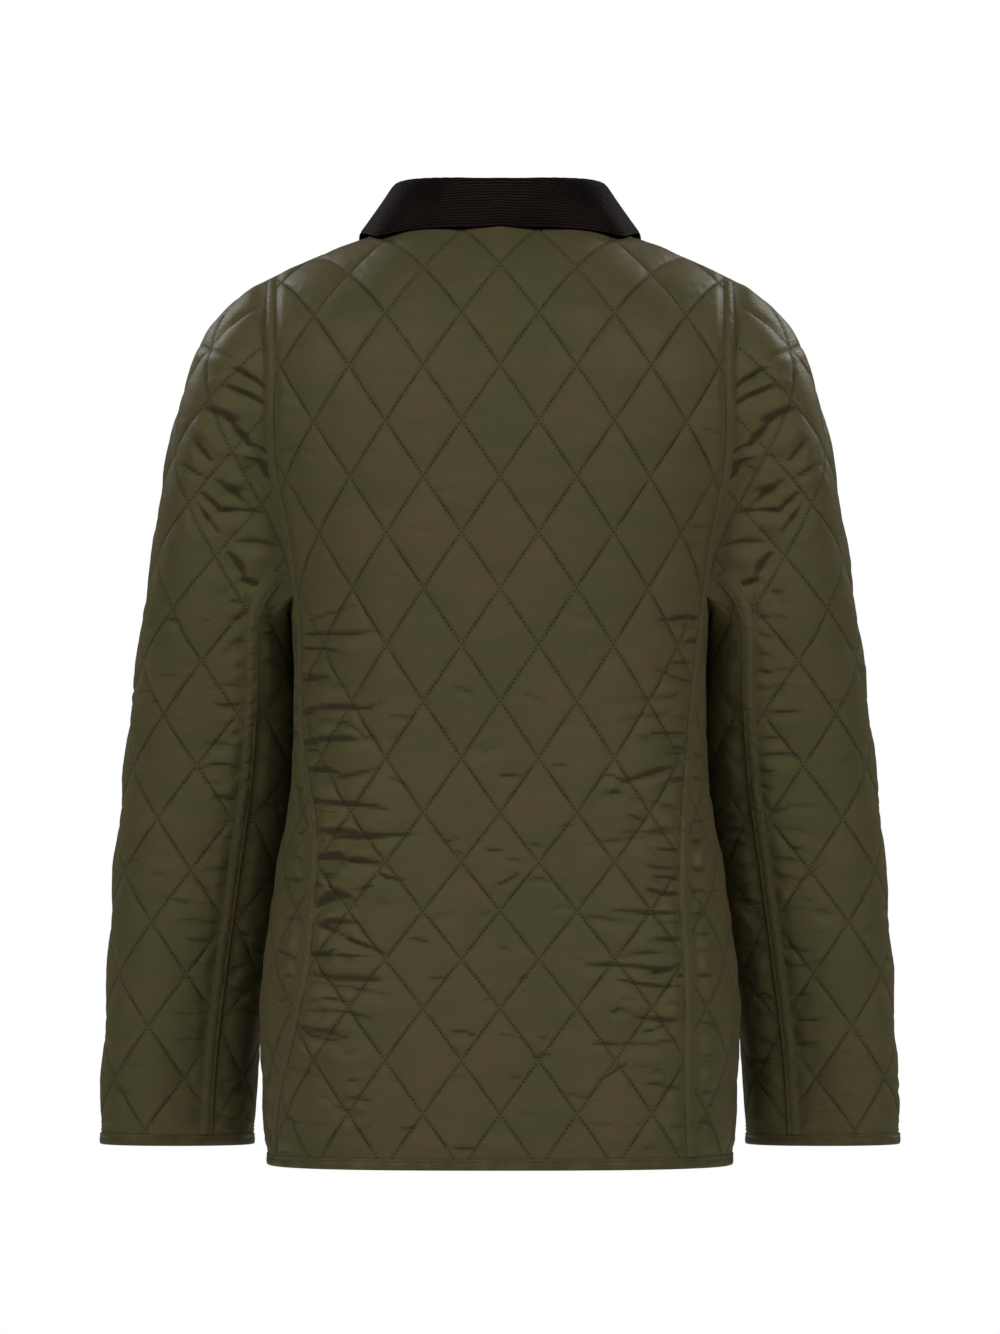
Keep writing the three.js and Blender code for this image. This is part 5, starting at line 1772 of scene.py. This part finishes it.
def ribbed_wall(paths, wall, edge_round, seed):
    """A curved wall of corduroy. Each path runs from its foot to its top edge, and the ribs run
    across the paths, so that they follow the collar round."""
    sewing = bpy.context.scene.jacket_sewing
    noise = Noise(seed)
    round_way = np.gradient(paths, axis=0)
    up_way = np.gradient(paths, axis=1)
    out = unit(np.cross(round_way, up_way))
    lengths = measured(paths)
    down = (lengths[:, -1:] - lengths) if edge_round else lengths
    phase = down / sewing.rib
    inside = np.minimum(lengths, lengths[:, -1:] - lengths)
    ends = np.minimum(np.arange(len(paths)), np.arange(len(paths))[::-1])[:, None] * 2.0
    border = smooth(0, 4, np.minimum(inside, ends))
    rib = np.sqrt(np.abs(np.sin(math.pi * phase))) - 0.6
    worn = 0.75 + 0.25 * noise(np.arange(len(paths))[:, None] / 6, phase / 5)
    outer = paths + out * (wall / 2 + sewing.rib_high * rib * worn * border - 0.5 * (1 - border))[..., None]
    inner = paths - out * (wall / 2 - 0.5 * (1 - border))[..., None]
    count, size = paths.shape[:2]
    points = np.concatenate([outer.reshape(-1, 3), inner.reshape(-1, 3)])
    at = np.arange(count * size).reshape(count, size)
    a, b, c, d = at[:-1, :-1], at[1:, :-1], at[1:, 1:], at[:-1, 1:]
    quads = np.stack([a, b, c, d], axis=-1).reshape(-1, 4)
    shift = count * size
    faces = [quads[:, [0, 1, 2]], quads[:, [0, 2, 3]]]
    faces += [quads[:, [0, 2, 1]] + shift, quads[:, [0, 3, 2]] + shift]
    rim = np.concatenate([at[:-1, 0], at[-1, :-1], at[:0:-1, -1], at[0, :0:-1]])
    after = np.roll(rim, -1)
    faces += [np.stack([rim, after + shift, after], axis=-1)]
    faces += [np.stack([rim, rim + shift, after + shift], axis=-1)]
    flat = np.stack([0 * phase + 0.5, phase], axis=-1).reshape(-1, 2)
    quilt = np.concatenate([flat, np.full_like(flat, 0.5)])
    return Shell(points, np.concatenate(faces), quilt * 0.01, quilt)


class JACKET_OT_collar(bpy.types.Operator):
    """Make the corduroy collar: its stand and its turned-down fall"""

    bl_idname = "jacket.collar"
    bl_label = "Collar"

    def execute(self, context):
        turn = np.radians(np.linspace(-COLLAR_OPEN, COLLAR_OPEN, COLLAR_STATIONS + 1))
        side = np.where(turn < 0, -1, 1)[:, None, None] * [1, 0, 0] + [0, 1, 1]
        turn = np.abs(turn)
        fold = fold_points(turn)
        foot = inward(neck_points(turn), STAND_INSET)
        top = inward(fold, ROLL[0][0]) + [0, 0, ROLL[0][1] - 2 * SEAM_GAP]
        share = np.linspace(0, 1, STAND_ROWS)[None, :, None]
        stand = (foot[:, None] * (1 - share) + top[:, None] * share) * side
        self.wall("collar_stand", stand, STAND_WALL, False, 91)

        over = [inward(fold, step_in) * [1, 1, 0] + [0, 0, 1] * (fold + [0, 0, up]) for step_in, up in ROLL]
        last = over[-1]
        edge = np.array([fall_point(angle) for angle in turn])
        down = [
            np.array([clear_of_body(p) for p in last + (edge - last) * share]) for share in FALL_SHARES
        ] + [edge]
        knots = np.stack(over + down, axis=1)
        paths = np.array([smooth_line(line, FALL_ROWS) for line in knots]) * side
        self.wall("collar_fall", paths, COLLAR_WALL, True, 92)
        return {"FINISHED"}

    def wall(self, name, paths, wall, edge_round, seed):
        shell = ribbed_wall(paths, wall, edge_round, seed)
        piece = make_piece(name + "_corduroy", [shell], material("corduroy"), [name])
        round_way = measured(paths.transpose(1, 0, 2))[:, -1]
        edges = np.linalg.norm(np.cross(
            paths[1:, :-1] - paths[:-1, :-1], paths[:-1, 1:] - paths[:-1, :-1]
        ), axis=-1)


# From a stud's rim inwards: each ring's width, and how far it rises.
STUD_RINGS = ((0.8, 0.0), (0.5, -0.25), (0.5, 0.35), (1.3, 0.75), (1.6, 0.45), (1.4, 0.2))


class JACKET_OT_studs(bpy.types.Operator):
    """Make the caps of the press studs"""

    bl_idname = "jacket.studs"
    bl_label = "Press studs"

    def execute(self, context):
        cap = self.cap(context)
        for i in range(STUD_COUNT):
            v = STUD_TOP - i * STUD_SPACING - HEM
            cloth = BODY_CLOTH["front"]
            out = cloth.out(np.array(0.0), np.array(float(v)))
            place = cloth.at(0.0, float(v)) + out * STUD_GAP
            turned = Vector((0, 0, 1)).rotation_difference(Vector(out.tolist())).to_matrix().to_4x4()
            mesh = cap.data.copy()
            mesh.transform(Matrix.Translation(Vector((place * MM).tolist())) @ turned)
            stud = bpy.data.objects.new(f"stud_cap_{i + 1}", mesh)
            context.scene.collection.objects.link(stud)
            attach(stud, BODY)
            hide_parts(f"stud_{i + 1}")
        bpy.data.objects.remove(cap)
        return {"FINISHED"}

    def cap(self, context):
        """A low dome with a rolled rim and a ring pressed into it."""
        radius, high = STUD_RADIUS * MM, STUD_HIGH * MM
        bpy.ops.object.select_all(action="DESELECT")
        bpy.ops.mesh.primitive_cylinder_add(
            vertices=40, radius=radius, depth=high * 0.45, location=(0, 0, high * 0.225),
        )
        cap = context.object
        bpy.ops.object.transform_apply()
        bpy.ops.object.mode_set(mode="EDIT")
        bpy.ops.mesh.select_mode(type="FACE")
        bpy.ops.mesh.select_all(action="DESELECT")
        bpy.ops.object.mode_set(mode="OBJECT")
        for face in cap.data.polygons:
            face.select = face.normal.z > 0.9
        bpy.ops.object.mode_set(mode="EDIT")
        for thickness, depth in STUD_RINGS:
            bpy.ops.mesh.inset(thickness=thickness * MM, depth=depth * MM)
        bpy.ops.mesh.select_all(action="SELECT")
        bpy.ops.object.mode_set(mode="OBJECT")
        rounding = cap.modifiers.new("rounding", "BEVEL")
        rounding.width, rounding.segments, rounding.angle_limit = 0.35 * MM, 2, math.radians(40)
        bpy.ops.object.modifier_apply(modifier="rounding")
        bpy.ops.object.shade_smooth_by_angle(angle=math.radians(50))
        cap.data.materials.append(material("stud_metal"))
        return cap


class JACKET_PT_panel(bpy.types.Panel):
    bl_label = "Quilted Jacket"
    bl_space_type = "VIEW_3D"
    bl_region_type = "UI"
    bl_category = "Jacket"

    def draw(self, context):
        for group in ("jacket_sewing", "jacket_colours", "jacket_stage"):
            settings = getattr(context.scene, group)
            box = self.layout.box()
            for name in settings.__annotations__:
                box.prop(settings, name)
        for operator in OPERATORS:
            self.layout.operator(operator.bl_idname)


GROUPS = {
    "jacket_sewing": JacketSewing, "jacket_colours": JacketColours, "jacket_stage": JacketStage,
}
OPERATORS = (
    JACKET_OT_stage, JACKET_OT_body, JACKET_OT_sleeves, JACKET_OT_bindings, JACKET_OT_collar,
    JACKET_OT_studs,
)


def register():
    for made in (*GROUPS.values(), *OPERATORS, JACKET_PT_panel):
        bpy.utils.register_class(made)
    for name, group in GROUPS.items():
        setattr(bpy.types.Scene, name, PointerProperty(type=group))


def unregister():
    for name in GROUPS:
        delattr(bpy.types.Scene, name)
    for made in (JACKET_PT_panel, *reversed(OPERATORS), *reversed(GROUPS.values())):
        bpy.utils.unregister_class(made)


def main():
    register()
    bpy.ops.jacket.stage()
    bpy.ops.jacket.body()
    bpy.ops.jacket.sleeves()
    bpy.ops.jacket.bindings()
    bpy.ops.jacket.collar()
    bpy.ops.jacket.studs()
    {"cad": CAD_BOX, "visual": [list(corner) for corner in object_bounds()]}


if __name__ == "__main__":
    main()
